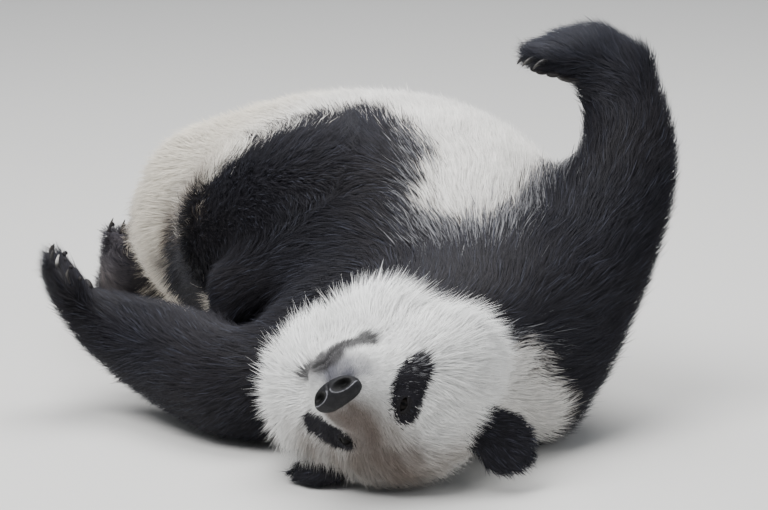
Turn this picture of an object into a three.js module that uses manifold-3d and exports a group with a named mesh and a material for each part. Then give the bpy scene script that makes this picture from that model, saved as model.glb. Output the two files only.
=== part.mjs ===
// Giant panda lying on its back, life size. Millimetres, +Z up, X to the right and Y away from the viewer.
// The origin is on the floor, at the middle of the flat on which the back rests.
import * as THREE from 'three';
import { mergeVertices } from 'three/addons/utils/BufferGeometryUtils.js';
import { edgeTable, triTable } from 'three/addons/objects/MarchingCubes.js';
import Module from 'manifold-3d';

const wasm = await Module();
wasm.setup();

// ---- driving dimensions -------------------------------------------------------------------

const GAP = 0.3;                 // clearance between neighbouring solids
const BODY_CELL = 39;            // facet size of trunk and legs
const PAW_CELL = 21.7;           // facet size of paws
const SHARE_CELL = 50;           // facet size of the cuts between trunk and legs

const LEG_BLEND = 55;            // leg into trunk
const PALM_BLEND = 30;           // wrist into palm
const TOE_BLEND = 12;
const JOINT_BIAS = 0.25;        // how far a joint's plane, not nearness, parts upper from lower leg
const CHAIN_STEPS = 4;           // stretches between two balls of a chain

// Trunk, from the nape to the rump: the balls that it is drawn over.
const TRUNK = [
  { at: [40, -430, 112], radius: 108 },
  { at: [132, -225, 150], radius: 148 },
  { at: [68, -40, 196], radius: 188 },
  { at: [-70, 130, 189], radius: 187 },
  { at: [-200, 240, 178], radius: 146 },
];
// The back sags onto the floor below the trunk's round.
const BACK = [
  { at: [105, -190, 142], radius: 148 },
  { at: [50, -20, 150], radius: 158 },
  { at: [-60, 120, 150], radius: 156 },
  { at: [-150, 225, 142], radius: 142 },
];
const HEAD_CUT = { at: [38, -447, 98], normal: [0.43, 0.88, -0.05] };
const NECK_CUT = { at: [206, -390, 131], normal: [-0.36, 0.88, 0.3] };
const BAND_CUT = { at: [60, -255, 200], normal: [-0.62, 0.78, 0] };
const WAIST_CUT = { at: [-125, 185, 180], normal: [-0.65, 0.76, 0] };
const TAIL = { root: [-245, 325, 82], tip: [-300, 398, 46], rootRadius: 48, tipRadius: 34, cut: 0.35 };

// Legs: the balls along each, the joint at which the lower leg starts, and the paw's toe and back directions.
const LEGS = [
  {
    side: 'right',
    chain: [
      { at: [182, -282, 68], radius: 79 },
      { at: [258, -196, 205], radius: 84 },
      { at: [310, -150, 335], radius: 70 },
      { at: [298, -130, 440], radius: 55 },
    ],
    joint: 1,
    names: ['upper_arm', 'forearm', 'forepaw'],
    toes: [-0.98, -0.12, 0.06],
    back: [0.05, 0.1, 1],
    lift: 26,
    paw: 'bentFront',
  },
  {
    side: 'left',
    chain: [
      { at: [10, -165, 175], radius: 100 },
      { at: [-150, -296, 76], radius: 76 },
      { at: [-285, -156, 88], radius: 69 },
      { at: [-359, -105, 112], radius: 50 },
    ],
    joint: 1,
    names: ['upper_arm', 'forearm', 'forepaw'],
    toes: [-0.52, -0.35, 0.78],
    back: [-0.86, -0.15, -0.48],
    lift: 10,
    paw: 'straightFront',
  },
  {
    side: 'left',
    chain: [
      { at: [-168, 45, 205], radius: 108 },
      { at: [-80, -48, 235], radius: 118 },
      { at: [18, -112, 268], radius: 84 },
      { at: [-90, -130, 195], radius: 72 },
      { at: [-180, -105, 150], radius: 56 },
    ],
    joint: 2,
    names: ['thigh', 'shank', 'hindpaw'],
    toes: [-0.35, 0.5, -0.8],
    back: [-0.9, -0.35, 0.1],
    lift: 0,
    paw: 'hind',
  },
  {
    side: 'right',
    chain: [
      { at: [-60, 300, 165], radius: 125 },
      { at: [-150, 420, 130], radius: 105 },
      { at: [-215, 470, 110], radius: 85 },
      { at: [-346, 412, 49], radius: 43 },
      { at: [-364, 390, 54], radius: 45 },
    ],
    joint: 2,
    names: ['thigh', 'shank', 'hindpaw'],
    toes: [0.12, -0.67, 0.69],
    back: [-0.35, -0.8, -0.45],
    lift: 0,
    paw: 'hind',
  },
];
const WRIST_AT = 0.93;           // how far along the last stretch the paw starts

const PAWS = {
  bentFront: { palm: [66, 52, 38], palmAt: 42, toeAt: 104, toeSpread: 21, toeRadius: 24 },
  straightFront: { palm: [72, 50, 30], palmAt: 48, toeAt: 107, toeSpread: 20, toeRadius: 21 },
  hind: { palm: [80, 44, 31], palmAt: 50, toeAt: 112, toeSpread: 18, toeRadius: 16 },
};
const TOES = 5;
const CLAW = { length: 13, radius: 5, tipRadius: 1.2, curl: 1, sides: 5, rings: 3, sink: 14 };

// Head: its own frame has x out of the muzzle, y to its left ear, z to its crown.
const HEAD_AT = [12, -500, 101];
const HEAD_FORWARD = [-0.436, -0.863, 0.254];
const HEAD_CROWN = [0.427, -0.446, -0.787];
const HEAD_AROUND = 34;
const HEAD_RINGS = 27;
const HEAD_BLEND = 30;

const EYE = { towards: [85, 44, 27], radius: 11, sink: 8 };
const LID = { radius: 15, slit: [12, 11.5, 6.5] };
const PATCH = { shift: [19, -20], half: [38, 23], turn: 0.93, depth: 13 };
const NOSE = { at: [136, 0, -8], size: [19, 30, 18], nostril: { at: [14, 14, -1], size: [10, 8, 6] } };
const MOUTH = { radius: 2.4, corner: [100, 46, -62], middle: [134, 0, -42], bend: [128, 24, -50] };
const EAR_RIGHT = { at: [-45, -88, 98], size: [17, 46, 48], facing: [0.8, -0.55, 0.2] };
const EAR_LEFT = { at: [-74, -490, 14], size: [52, 40, 14] };
const EAR_CUP = { shift: 14, share: 0.74 };

// Locks of the long coat: flat tufts in rows, each with its root sunk in and its tip along the lie.
// A ring is a place along the lock and the share of the full width and thickness there.
const LOCK = { thickness: 10, sink: 15, rings: [[0, 0.8], [0.4, 1], [0.75, 0.6]], vary: 0.18, seed: 7 };
// Rows round the cheeks and throat: turn from the muzzle's axis, and the range round it.
const RUFF = [
  { turn: 1.12, from: -0.15, to: -2.95, count: 12, length: 54, width: 42, rise: 0.6 },
  { turn: 1.55, from: -0.3, to: -2.7, count: 9, length: 64, width: 46, rise: 0.52 },
];
// The row over the rump's lower edge, between two directions from the last ball of the trunk.
const FRINGE = { from: [-0.84, -0.46, -0.24], to: [-0.4, -0.8, -0.42], lie: [-0.3, -0.15, -0.95] };
const FRINGE_ROWS = [
  { count: 4, length: 54, width: 44, rise: 0.26, lift: 0 },
  { count: 3, length: 64, width: 46, rise: 0.24, lift: 0.32 },
];

const COLOURS = {
  black: 0x1d1c22,
  white: 0xded6c6,
  leather: 0x17161a,
  eye: 0x120d0a,
  claw: 0x8d8478,
};

// ---- small vector helpers -----------------------------------------------------------------

const add = (a, b) => [a[0] + b[0], a[1] + b[1], a[2] + b[2]];
const sub = (a, b) => [a[0] - b[0], a[1] - b[1], a[2] - b[2]];
const scale = (a, s) => [a[0] * s, a[1] * s, a[2] * s];
const dot = (a, b) => a[0] * b[0] + a[1] * b[1] + a[2] * b[2];
const cross = (a, b) => [a[1] * b[2] - a[2] * b[1], a[2] * b[0] - a[0] * b[2], a[0] * b[1] - a[1] * b[0]];
const length = (a) => Math.hypot(a[0], a[1], a[2]);
const unit = (a) => scale(a, 1 / length(a));
const mix = (a, b, t) => add(a, scale(sub(b, a), t));
const mirrored = (p, side) => [p[0], p[1] * side, p[2]];

// A right-handed frame at a point, from its x direction and roughly its z direction.
function frameAt(origin, xDirection, zDirection) {
  const x = unit(xDirection);
  const y = unit(cross(zDirection, x));
  const z = cross(x, y);
  return { origin, x, y, z };
}

const toWorld = (f, p) => add(f.origin, add(add(scale(f.x, p[0]), scale(f.y, p[1])), scale(f.z, p[2])));
const direction = (f, p) => add(add(scale(f.x, p[0]), scale(f.y, p[1])), scale(f.z, p[2]));

function toLocal(f, p) {
  const d = sub(p, f.origin);
  return [dot(d, f.x), dot(d, f.y), dot(d, f.z)];
}

function matrixOf(f) {
  const matrix = new THREE.Matrix4();
  matrix.makeBasis(new THREE.Vector3(...f.x), new THREE.Vector3(...f.y), new THREE.Vector3(...f.z));
  return matrix.setPosition(...f.origin);
}

// ---- distance fields: negative inside -----------------------------------------------------

// A tapered stretch between two balls.
function stretch(a, b, radiusA, radiusB) {
  const axis = sub(b, a);
  const squared = dot(axis, axis);
  return (p) => {
    const d = sub(p, a);
    const t = Math.min(1, Math.max(0, dot(d, axis) / squared));
    return length(sub(d, scale(axis, t))) - radiusA - (radiusB - radiusA) * t;
  };
}

// An ellipsoid in a frame of its own.
function ellipsoid(frame, at, radii) {
  const least = Math.min(...radii);
  return (p) => {
    const d = sub(toLocal(frame, p), at);
    return (Math.hypot(d[0] / radii[0], d[1] / radii[1], d[2] / radii[2]) - 1) * least;
  };
}

function blend(a, b, width) {
  const h = Math.max(width - Math.abs(a - b), 0) / width;
  return Math.min(a, b) - h * h * width / 4;
}

const blended = (width, fields) => (p) => fields.reduce((sum, field) => blend(sum, field(p), width), 1e4);
const nearest = (fields) => (p) => fields.reduce((sum, field) => Math.min(sum, field(p)), 1e4);

// ---- surfaces from fields ------------------------------------------------------------------

const CORNERS = [[0, 0, 0], [1, 0, 0], [1, 1, 0], [0, 1, 0], [0, 0, 1], [1, 0, 1], [1, 1, 1], [0, 1, 1]];
const EDGES = [
  [0, 1], [1, 2], [3, 2], [0, 3], [4, 5], [5, 6], [7, 6], [4, 7], [0, 4], [1, 5], [2, 6], [3, 7],
];
const CLOSEST_CROSSING = 0.06;

// The closed surface where a field is zero, inside a box, as points and triangles.
function surfaceOf(field, low, high, cell) {
  const count = low.map((value, axis) => Math.ceil((high[axis] - value) / cell) + 1);
  const place = (i, j, k) => [low[0] + i * cell, low[1] + j * cell, low[2] + k * cell];
  const index = (i, j, k) => i + count[0] * (j + count[1] * k);
  const values = new Float64Array(count[0] * count[1] * count[2]);
  const onBorder = (i, axis) => i === 0 || i === count[axis] - 1;
  for (let k = 0; k < count[2]; k++) {
    for (let j = 0; j < count[1]; j++) {
      for (let i = 0; i < count[0]; i++) {
        const border = onBorder(i, 0) || onBorder(j, 1) || onBorder(k, 2);
        values[index(i, j, k)] = border ? cell : field(place(i, j, k));
      }
    }
  }
  const points = [];
  const triangles = [];
  const made = new Map();
  const crossing = (i, j, k, edge) => {
    const [from, to] = EDGES[edge].map((corner) => CORNERS[corner]);
    const a = [i + from[0], j + from[1], k + from[2]];
    const b = [i + to[0], j + to[1], k + to[2]];
    const key = index(...a) * 3 + to.findIndex((value, axis) => value !== from[axis]);
    if (!made.has(key)) {
      const start = values[index(...a)];
      const t = start / (start - values[index(...b)]);
      const apart = Math.min(1 - CLOSEST_CROSSING, Math.max(CLOSEST_CROSSING, t));
      made.set(key, points.length);
      points.push(mix(place(...a), place(...b), apart));
    }
    return made.get(key);
  };
  for (let k = 0; k < count[2] - 1; k++) {
    for (let j = 0; j < count[1] - 1; j++) {
      for (let i = 0; i < count[0] - 1; i++) {
        let bits = 0;
        CORNERS.forEach((c, n) => {
          bits |= values[index(i + c[0], j + c[1], k + c[2])] < 0 ? 1 << n : 0;
        });
        if (edgeTable[bits] === 0) {
          continue;
        }
        for (let n = bits * 16; triTable[n] !== -1; n += 3) {
          triangles.push([triTable[n], triTable[n + 2], triTable[n + 1]].map((e) => crossing(i, j, k, e)));
        }
      }
    }
  }
  return { points, triangles };
}

function slope(field, p) {
  const step = 0.5;
  const at = field(p);
  return [
    (field([p[0] + step, p[1], p[2]]) - at) / step,
    (field([p[0], p[1] + step, p[2]]) - at) / step,
    (field([p[0], p[1], p[2] + step]) - at) / step,
  ];
}

// Evens out the triangles: each point moves towards its neighbours' middle and back onto the surface.
function evened(surface, field, cell, rounds = 4) {
  const { points, triangles } = surface;
  const neighbours = points.map(() => new Set());
  triangles.forEach(([a, b, c]) => {
    neighbours[a].add(b).add(c);
    neighbours[b].add(a).add(c);
    neighbours[c].add(a).add(b);
  });
  for (let round = 0; round < rounds; round++) {
    points.forEach((p, n) => {
      const around = [...neighbours[n]];
      const middle = scale(around.reduce((sum, m) => add(sum, points[m]), [0, 0, 0]), 1 / around.length);
      const moved = mix(p, middle, 0.5);
      const gradient = slope(field, moved);
      const steepness = Math.max(dot(gradient, gradient), 0.2);
      const back = Math.max(-cell / 4, Math.min(cell / 4, field(moved) / steepness));
      points[n] = sub(moved, scale(gradient, back));
    });
  }
  return surface;
}

// ---- solids ----------------------------------------------------------------------------------

function solidOf({ points, triangles }) {
  const mesh = new wasm.Mesh({
    numProp: 3,
    vertProperties: Float32Array.from(points.flat()),
    triVerts: Uint32Array.from(triangles.flat()),
  });
  return new wasm.Manifold(mesh);
}

// A closed three.js geometry as a solid.
function solidFrom(geometry, matrix = new THREE.Matrix4()) {
  const bare = geometry.clone();
  bare.deleteAttribute('normal');
  bare.deleteAttribute('uv');
  const merged = mergeVertices(bare, 1e-4).applyMatrix4(matrix);
  const mesh = new wasm.Mesh({
    numProp: 3,
    vertProperties: Float32Array.from(merged.attributes.position.array),
    triVerts: Uint32Array.from(merged.index.array),
  });
  return new wasm.Manifold(mesh);
}

// The same solid with every face moved out by a small distance.
function grown(solid, distance = GAP) {
  const mesh = solid.getMesh();
  const points = [];
  for (let n = 0; n < mesh.vertProperties.length; n += mesh.numProp) {
    points.push(Array.from(mesh.vertProperties.subarray(n, n + 3)));
  }
  const normals = points.map(() => [0, 0, 0]);
  const triangles = [];
  for (let n = 0; n < mesh.triVerts.length; n += 3) {
    const [a, b, c] = mesh.triVerts.subarray(n, n + 3);
    const area = cross(sub(points[b], points[a]), sub(points[c], points[a]));
    [a, b, c].forEach((m) => {
      normals[m] = add(normals[m], area);
    });
    triangles.push([a, b, c]);
  }
  const moved = points.map((p, n) => add(p, scale(unit(normals[n]), distance)));
  return solidOf({ points: moved, triangles });
}

const largest = (solid) => solid.decompose().sort((a, b) => b.volume() - a.volume())[0];

// A slab with one face on a plane, reaching far out to the side that the normal points to.
const FAR = 1600;
function beyond(point, normal, offset = 0) {
  const geometry = new THREE.BoxGeometry(FAR, FAR, FAR);
  geometry.translate(0, 0, FAR / 2 + offset);
  const up = new THREE.Vector3(0, 0, 1);
  const turn = new THREE.Quaternion().setFromUnitVectors(up, new THREE.Vector3(...unit(normal)));
  const matrix = new THREE.Matrix4().makeRotationFromQuaternion(turn).setPosition(...point);
  return solidFrom(geometry, matrix);
}

// Parts a solid at a plane. The first piece is on the side that the normal leaves.
function parted(solid, point, normal) {
  const near = largest(solid.subtract(beyond(point, normal, -GAP / 2)));
  const far = largest(solid.intersect(beyond(point, normal, GAP / 2)));
  return [near, far];
}

const FLOOR = beyond([0, 0, 0], [0, 0, -1]);

// ---- fields of the body ------------------------------------------------------------------------

// A tube of changing radius along a smooth curve through a chain of balls.
function chainField(chain) {
  const places = chain.map((joint) => new THREE.Vector3(...joint.at));
  const curve = new THREE.CatmullRomCurve3(places, false, 'centripetal');
  const radii = new THREE.SplineCurve(chain.map((joint, n) => new THREE.Vector2(n, joint.radius)));
  const count = (chain.length - 1) * CHAIN_STEPS;
  const balls = Array.from({ length: count + 1 }, (_, n) => ({
    at: curve.getPoint(n / count).toArray(),
    radius: radii.getPoint(n / count).y,
  }));
  return nearest(balls.slice(1).map((end, n) => stretch(balls[n].at, end.at, balls[n].radius, end.radius)));
}

const trunkField = nearest([chainField(TRUNK), chainField(BACK)]);
const tailField = stretch(TAIL.root, TAIL.tip, TAIL.rootRadius, TAIL.tipRadius);

// A paw's frame has x out of the toes, y across, z out of its back.
function pawFrame(leg) {
  const wrist = leg.chain.at(-1).at;
  const frame = frameAt(wrist, leg.toes, leg.back);
  return { ...frame, origin: add(wrist, scale(frame.z, leg.lift)) };
}

function toePlace(paw, n) {
  const across = n - (TOES - 1) / 2;
  return [paw.toeAt - 3.5 * across * across, across * paw.toeSpread, -4 - 1.5 * Math.abs(across)];
}

function pawField(leg) {
  const paw = PAWS[leg.paw];
  const frame = pawFrame(leg);
  const palm = ellipsoid(frame, [paw.palmAt, 0, 0], paw.palm);
  const toes = Array.from({ length: TOES }, (_, n) => {
    const tip = toePlace(paw, n);
    const root = [tip[0] - 40, tip[1] * 0.8, tip[2] + 4];
    return stretch(toWorld(frame, root), toWorld(frame, tip), paw.toeRadius, paw.toeRadius - 2);
  });
  const digits = nearest(toes);
  return (p) => blend(palm(p), digits(p), TOE_BLEND);
}

function legField(leg) {
  const limb = chainField(leg.chain);
  const paw = pawField(leg);
  return (p) => blend(limb(p), paw(p), PALM_BLEND);
}

// Negative where a point belongs to the lower leg: it lies nearer to that, and beyond the joint's plane.
function lowerLegField(leg) {
  const [before, joint, after] = [-1, 0, 1].map((step) => leg.chain[leg.joint + step].at);
  const normal = unit(add(unit(sub(joint, before)), unit(sub(after, joint))));
  const upper = chainField(leg.chain.slice(0, leg.joint + 1));
  const lower = nearest([chainField(leg.chain.slice(leg.joint)), pawField(leg)]);
  return (p) => lower(p) - upper(p) - JOINT_BIAS * dot(sub(p, joint), normal);
}

const legFields = LEGS.map(legField);
const bodyField = nearest([
  ...legFields.map((field) => (p) => blend(trunkField(p), field(p), LEG_BLEND)),
  (p) => blend(trunkField(p), tailField(p), LEG_BLEND / 2),
]);

// ---- head ----------------------------------------------------------------------------------------

const headFrame = frameAt(HEAD_AT, HEAD_FORWARD, HEAD_CROWN);
const home = frameAt([0, 0, 0], [1, 0, 0], [0, 0, 1]);

const headField = blended(HEAD_BLEND, [
  ellipsoid(home, [-10, 0, 4], [102, 108, 94]),
  ellipsoid(home, [-8, 66, -52], [88, 83, 94]),
  ellipsoid(home, [-8, -60, -12], [88, 91, 68]),
  ellipsoid(home, [-10, -10, -69], [78, 86, 77]),
  stretch([20, 0, -22], [94, 0, -30], 68, 46),
  stretch([50, 0, 6], [112, 0, -10], 34, 28),
]);

// Distance from the head's centre to its skin, along a direction.
function reach(towards) {
  let distance = 260;
  for (let step = 0; step < 60; step++) {
    distance -= headField(scale(towards, distance)) * 0.8;
  }
  return distance;
}

// A direction from the head's centre, by its turn from the muzzle's axis and the angle around that.
const spoke = (turn, around) => [
  Math.cos(turn),
  Math.sin(turn) * Math.cos(around),
  Math.sin(turn) * Math.sin(around),
];

// The skin of the head as rings round the muzzle's axis, closed at both ends.
function headSkin() {
  const points = [];
  const triangles = [];
  const addPoint = (towards) => points.push(scale(towards, reach(towards))) - 1;
  const front = addPoint(spoke(0, 0));
  for (let ring = 1; ring < HEAD_RINGS; ring++) {
    for (let n = 0; n < HEAD_AROUND; n++) {
      addPoint(spoke(Math.PI * ring / HEAD_RINGS, 2 * Math.PI * (n + ring % 2 / 2) / HEAD_AROUND));
    }
  }
  const back = addPoint(spoke(Math.PI, 0));
  const at = (ring, n) => 1 + (ring - 1) * HEAD_AROUND + (n + HEAD_AROUND) % HEAD_AROUND;
  for (let n = 0; n < HEAD_AROUND; n++) {
    triangles.push([front, at(1, n), at(1, n + 1)]);
    triangles.push([back, at(HEAD_RINGS - 1, n + 1), at(HEAD_RINGS - 1, n)]);
    for (let ring = 1; ring < HEAD_RINGS - 1; ring++) {
      const lead = ring % 2;
      triangles.push([at(ring, n), at(ring + 1, n + lead), at(ring, n + 1)]);
      triangles.push([at(ring, n + 1), at(ring + 1, n + lead), at(ring + 1, n + 1 + lead)]);
    }
  }
  return { points: points.map((p) => toWorld(headFrame, p)), triangles };
}

// An egg of given half sizes in a frame.
function egg(frame, at, size, around = 11, rings = 8) {
  const geometry = new THREE.SphereGeometry(1, around, rings);
  const matrix = matrixOf({ ...frame, origin: toWorld(frame, at) });
  return solidFrom(geometry, matrix.scale(new THREE.Vector3(...size)));
}

function eyePlace(side) {
  const towards = unit(mirrored(EYE.towards, side));
  const centre = toWorld(headFrame, scale(towards, reach(towards) - EYE.sink));
  return frameAt(centre, direction(headFrame, towards), HEAD_CROWN);
}

// The dark fur round an eye is let into the skin, with the lids and the socket in it.
function eyePatchCutter(side) {
  const place = eyePlace(side);
  const geometry = new THREE.CylinderGeometry(1, 1, 1, 16);
  geometry.rotateZ(-Math.PI / 2);
  geometry.translate(0.5, 0, 0);
  geometry.scale(70, PATCH.half[0], PATCH.half[1]);
  geometry.rotateX(-side * PATCH.turn);
  const centre = toWorld(place, [EYE.sink - PATCH.depth, side * PATCH.shift[0], PATCH.shift[1]]);
  return solidFrom(geometry, matrixOf({ ...place, origin: centre }));
}

const eyeBall = (side, radius) => egg(eyePlace(side), [0, 0, 0], [radius, radius, radius], 10, 8);
const lids = (side) => eyeBall(side, LID.radius).subtract(egg(eyePlace(side), [LID.radius, 0, 0], LID.slit));

function noseSolid() {
  const pad = egg(headFrame, NOSE.at, NOSE.size, 13, 8);
  return [-1, 1].reduce((solid, side) => {
    const at = add(NOSE.at, mirrored(NOSE.nostril.at, side));
    return solid.subtract(egg(headFrame, at, NOSE.nostril.size, 8, 6));
  }, pad);
}

// The groove between the lips.
function mouthGroove() {
  const half = [MOUTH.corner, MOUTH.bend];
  const route = [
    ...half.map((p) => mirrored(p, -1)),
    MOUTH.middle,
    ...half.reverse(),
  ].map((p) => {
    const towards = unit(p);
    return new THREE.Vector3(...toWorld(headFrame, scale(towards, reach(towards) - MOUTH.radius / 3)));
  });
  const path = new THREE.CatmullRomCurve3(route);
  const circle = new THREE.EllipseCurve(0, 0, MOUTH.radius, MOUTH.radius);
  const section = new THREE.Shape(circle.getPoints(6).slice(0, 6));
  return solidFrom(new THREE.ExtrudeGeometry(section, { steps: 16, extrudePath: path, curveSegments: 1 }));
}

function cupped(frame, at, size, cupTowards) {
  const shell = egg(frame, at, size, 13, 8);
  const cup = egg(frame, add(at, scale(cupTowards, EAR_CUP.shift)), scale(size, EAR_CUP.share), 10, 7);
  return shell.subtract(cup);
}

// ---- claws ---------------------------------------------------------------------------------------

// A claw bends from its toe towards the palm. A margin makes it larger all round, for its socket.
function clawSolid(leg, n, margin = 0) {
  const paw = PAWS[leg.paw];
  const frame = pawFrame(leg);
  const toe = toePlace(paw, n);
  const sink = CLAW.sink + margin;
  const start = add(toe, [paw.toeRadius - 2 - sink, 0, -2]);
  const points = [];
  const triangles = [];
  for (let ring = 0; ring < CLAW.rings; ring++) {
    const t = ring / (CLAW.rings - 1);
    const bend = CLAW.curl * t;
    const along = (CLAW.length + sink) / CLAW.curl;
    const centre = add(start, [along * Math.sin(bend), 0, along * (Math.cos(bend) - 1)]);
    const radius = CLAW.radius + (CLAW.tipRadius - CLAW.radius) * t + 1.5 * margin;
    for (let m = 0; m < CLAW.sides; m++) {
      const turn = 2 * Math.PI * m / CLAW.sides;
      const across = [0, radius * 0.8 * Math.cos(turn), 0];
      const up = scale([Math.sin(bend), 0, Math.cos(bend)], radius * Math.sin(turn));
      points.push(add(centre, add(across, up)));
    }
  }
  const at = (ring, m) => ring * CLAW.sides + m % CLAW.sides;
  for (let ring = 0; ring < CLAW.rings - 1; ring++) {
    for (let m = 0; m < CLAW.sides; m++) {
      triangles.push([at(ring, m), at(ring, m + 1), at(ring + 1, m)]);
      triangles.push([at(ring, m + 1), at(ring + 1, m + 1), at(ring + 1, m)]);
    }
  }
  for (let m = 1; m < CLAW.sides - 1; m++) {
    triangles.push([at(0, 0), at(0, m + 1), at(0, m)]);
    triangles.push([at(CLAW.rings - 1, 0), at(CLAW.rings - 1, m), at(CLAW.rings - 1, m + 1)]);
  }
  return solidOf({ points: points.map((p) => toWorld(frame, p)), triangles });
}

// ---- locks ---------------------------------------------------------------------------------------

// Seeded draws, the same on every run, from -1 to 1.
let drawn = LOCK.seed;
function draw() {
  drawn = (drawn * 48271) % 2147483647;
  return 2 * drawn / 2147483647 - 1;
}

// A flat tapered lock: it leaves the skin outwards and bends over into the lie of the coat.
function lockSolid(root, out, lie, row) {
  const reachOut = row.length * (1 + LOCK.vary * draw());
  const width = row.width * (1 + LOCK.vary * draw());
  const rise = row.rise * (1 + LOCK.vary * draw());
  const across = unit(cross(out, lie));
  const curve = new THREE.QuadraticBezierCurve3(
    new THREE.Vector3(...sub(root, scale(out, LOCK.sink))),
    new THREE.Vector3(...add(root, scale(out, reachOut * rise))),
    new THREE.Vector3(...add(root, add(scale(out, reachOut * rise), scale(lie, reachOut * (1 - rise / 2))))),
  );
  const points = [];
  LOCK.rings.forEach(([t, share]) => {
    const centre = curve.getPoint(t).toArray();
    const ridge = scale(unit(cross(across, curve.getTangent(t).toArray())), -LOCK.thickness * share);
    const half = scale(across, width * share / 2);
    points.push(add(centre, half), add(centre, ridge), sub(centre, half));
  });
  const tip = points.push(curve.getPoint(1).toArray()) - 1;
  const triangles = [[0, 2, 1]];
  for (let n = 0; n < tip; n++) {
    const next = n % 3 === 2 ? n - 2 : n + 1;
    if (n < tip - 3) {
      triangles.push([n, next, n + 3], [next, next + 3, n + 3]);
    } else {
      triangles.push([n, next, tip]);
    }
  }
  return solidOf({ points, triangles });
}

const evenly = (count) => Array.from({ length: count }, (_, n) => n / (count - 1));

const ruffLocks = () => RUFF.flatMap((row) => evenly(row.count).map((t) => {
  const turn = row.turn + LOCK.vary * 0.4 * draw();
  const around = row.from + (row.to - row.from) * t + LOCK.vary * 0.4 * draw();
  const out = spoke(turn, around);
  const lie = spoke(turn + Math.PI / 2, around);
  const root = toWorld(headFrame, scale(out, reach(out)));
  return lockSolid(root, direction(headFrame, out), direction(headFrame, lie), row);
}));

// How far the trunk reaches from a point inside it, along a direction.
function trunkReach(from, towards) {
  let distance = 0;
  for (let step = 0; step < 60; step++) {
    distance -= trunkField(add(from, scale(towards, distance))) * 0.8;
  }
  return distance;
}

const fringeLocks = () => FRINGE_ROWS.flatMap((row) => evenly(row.count).map((t) => {
  const centre = TRUNK.at(-1).at;
  const aim = add(mix(FRINGE.from, FRINGE.to, t), [0, 0, row.lift + LOCK.vary * 0.4 * draw()]);
  const out = unit(aim);
  const lie = unit(FRINGE.lie);
  return lockSolid(add(centre, scale(out, trunkReach(centre, out))), out, lie, row);
}));

// ---- assembly ------------------------------------------------------------------------------------

const group = new THREE.Group();
const solids = {};

function addNode(name, solid, colour, roughness = 0.9) {
  solids[name] = largest(solid);
  const mesh = solids[name].getMesh();
  const geometry = new THREE.BufferGeometry();
  geometry.setAttribute('position', new THREE.BufferAttribute(mesh.vertProperties, 3));
  geometry.setIndex(new THREE.BufferAttribute(mesh.triVerts, 1));
  geometry.computeVertexNormals();
  const material = new THREE.MeshStandardMaterial({ color: colour, roughness, metalness: 0 });
  const node = new THREE.Mesh(geometry, material);
  node.name = name;
  group.add(node);
}

const LOW = [-620, -760, -90];
const HIGH = [560, 760, 640];

// Head, with what is let into it.
const nose = noseSolid();
const [skull] = parted(solidOf(headSkin()).subtract(FLOOR), HEAD_CUT.at, HEAD_CUT.normal);
const taken = [FLOOR, grown(skull), grown(nose)];
const free = (solid) => taken.reduce((rest, other) => rest.subtract(other), solid);
let head = skull.subtract(grown(nose)).subtract(mouthGroove());
addNode('nose', nose, COLOURS.leather, 0.45);
Object.entries({ left: 1, right: -1 }).forEach(([name, side]) => {
  const cutter = eyePatchCutter(side);
  const patch = head.intersect(cutter).add(lids(side)).subtract(eyeBall(side, EYE.radius + GAP));
  head = head.subtract(grown(cutter)).subtract(eyeBall(side, LID.radius + GAP));
  addNode(`eye_patch_${name}`, patch, COLOURS.black);
  addNode(`eye_${name}`, eyeBall(side, EYE.radius), COLOURS.eye, 0.1);
});

const rightEarFrame = frameAt(HEAD_AT, direction(headFrame, EAR_RIGHT.facing), HEAD_CROWN);
const rightEarAt = toLocal(rightEarFrame, toWorld(headFrame, EAR_RIGHT.at));
const ears = {
  right: cupped(rightEarFrame, rightEarAt, EAR_RIGHT.size, [1, 0, 0]),
  left: cupped(home, EAR_LEFT.at, EAR_LEFT.size, [0, 0, 1]),
};
const earsBare = Object.fromEntries(Object.entries(ears).map(([name, ear]) => [name, largest(free(ear))]));
Object.entries(earsBare).forEach(([name, ear]) => {
  addNode(`ear_${name}`, ear, COLOURS.black);
  taken.push(grown(ear));
});

// Each leg takes what lies nearer to it than to the trunk, the tail and the legs still to come.
const body = solidOf(evened(surfaceOf(bodyField, LOW, HIGH, BODY_CELL), bodyField, BODY_CELL));
LEGS.forEach((leg, order) => {
  const others = nearest([trunkField, tailField, ...legFields.slice(order + 1)]);
  const share = solidOf(surfaceOf((p) => legFields[order](p) - others(p), LOW, HIGH, SHARE_CELL));
  const lowerShare = solidOf(surfaceOf(lowerLegField(leg), LOW, HIGH, SHARE_CELL));
  const [last, wrist] = leg.chain.slice(-2).map((ball) => ball.at);
  const wristPoint = mix(last, wrist, WRIST_AT);
  const wristNormal = sub(wrist, last);
  const whole = free(body.intersect(share));
  const [lower] = parted(whole.intersect(lowerShare), wristPoint, wristNormal);
  addNode(`${leg.names[0]}_${leg.side}`, whole.subtract(grown(lowerShare)), COLOURS.black);
  addNode(`${leg.names[1]}_${leg.side}`, lower, COLOURS.black);

  const middle = toWorld(pawFrame(leg), [60, 0, 0]);
  const [low, high] = [-150, 150].map((reachOut) => add(middle, [reachOut, reachOut, reachOut]));
  const skin = evened(surfaceOf(bodyField, low, high, PAW_CELL), bodyField, PAW_CELL);
  const claws = Array.from({ length: TOES }, (_, n) => clawSolid(leg, n));
  const sockets = claws.map((_, n) => clawSolid(leg, n, GAP));
  const pastWrist = solidOf(skin).intersect(share).intersect(lowerShare).intersect(
    beyond(wristPoint, wristNormal, GAP / 2),
  );
  const paw = sockets.reduce((rest, socket) => rest.subtract(socket), free(pastWrist));
  addNode(`${leg.names[2]}_${leg.side}`, paw, COLOURS.black);
  claws.forEach((claw, n) => {
    addNode(`claw_${leg.names[2]}_${leg.side}_${n + 1}`, free(claw), COLOURS.claw, 0.5);
    taken.push(sockets[n]);
  });
  taken.push(grown(share));
});

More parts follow.
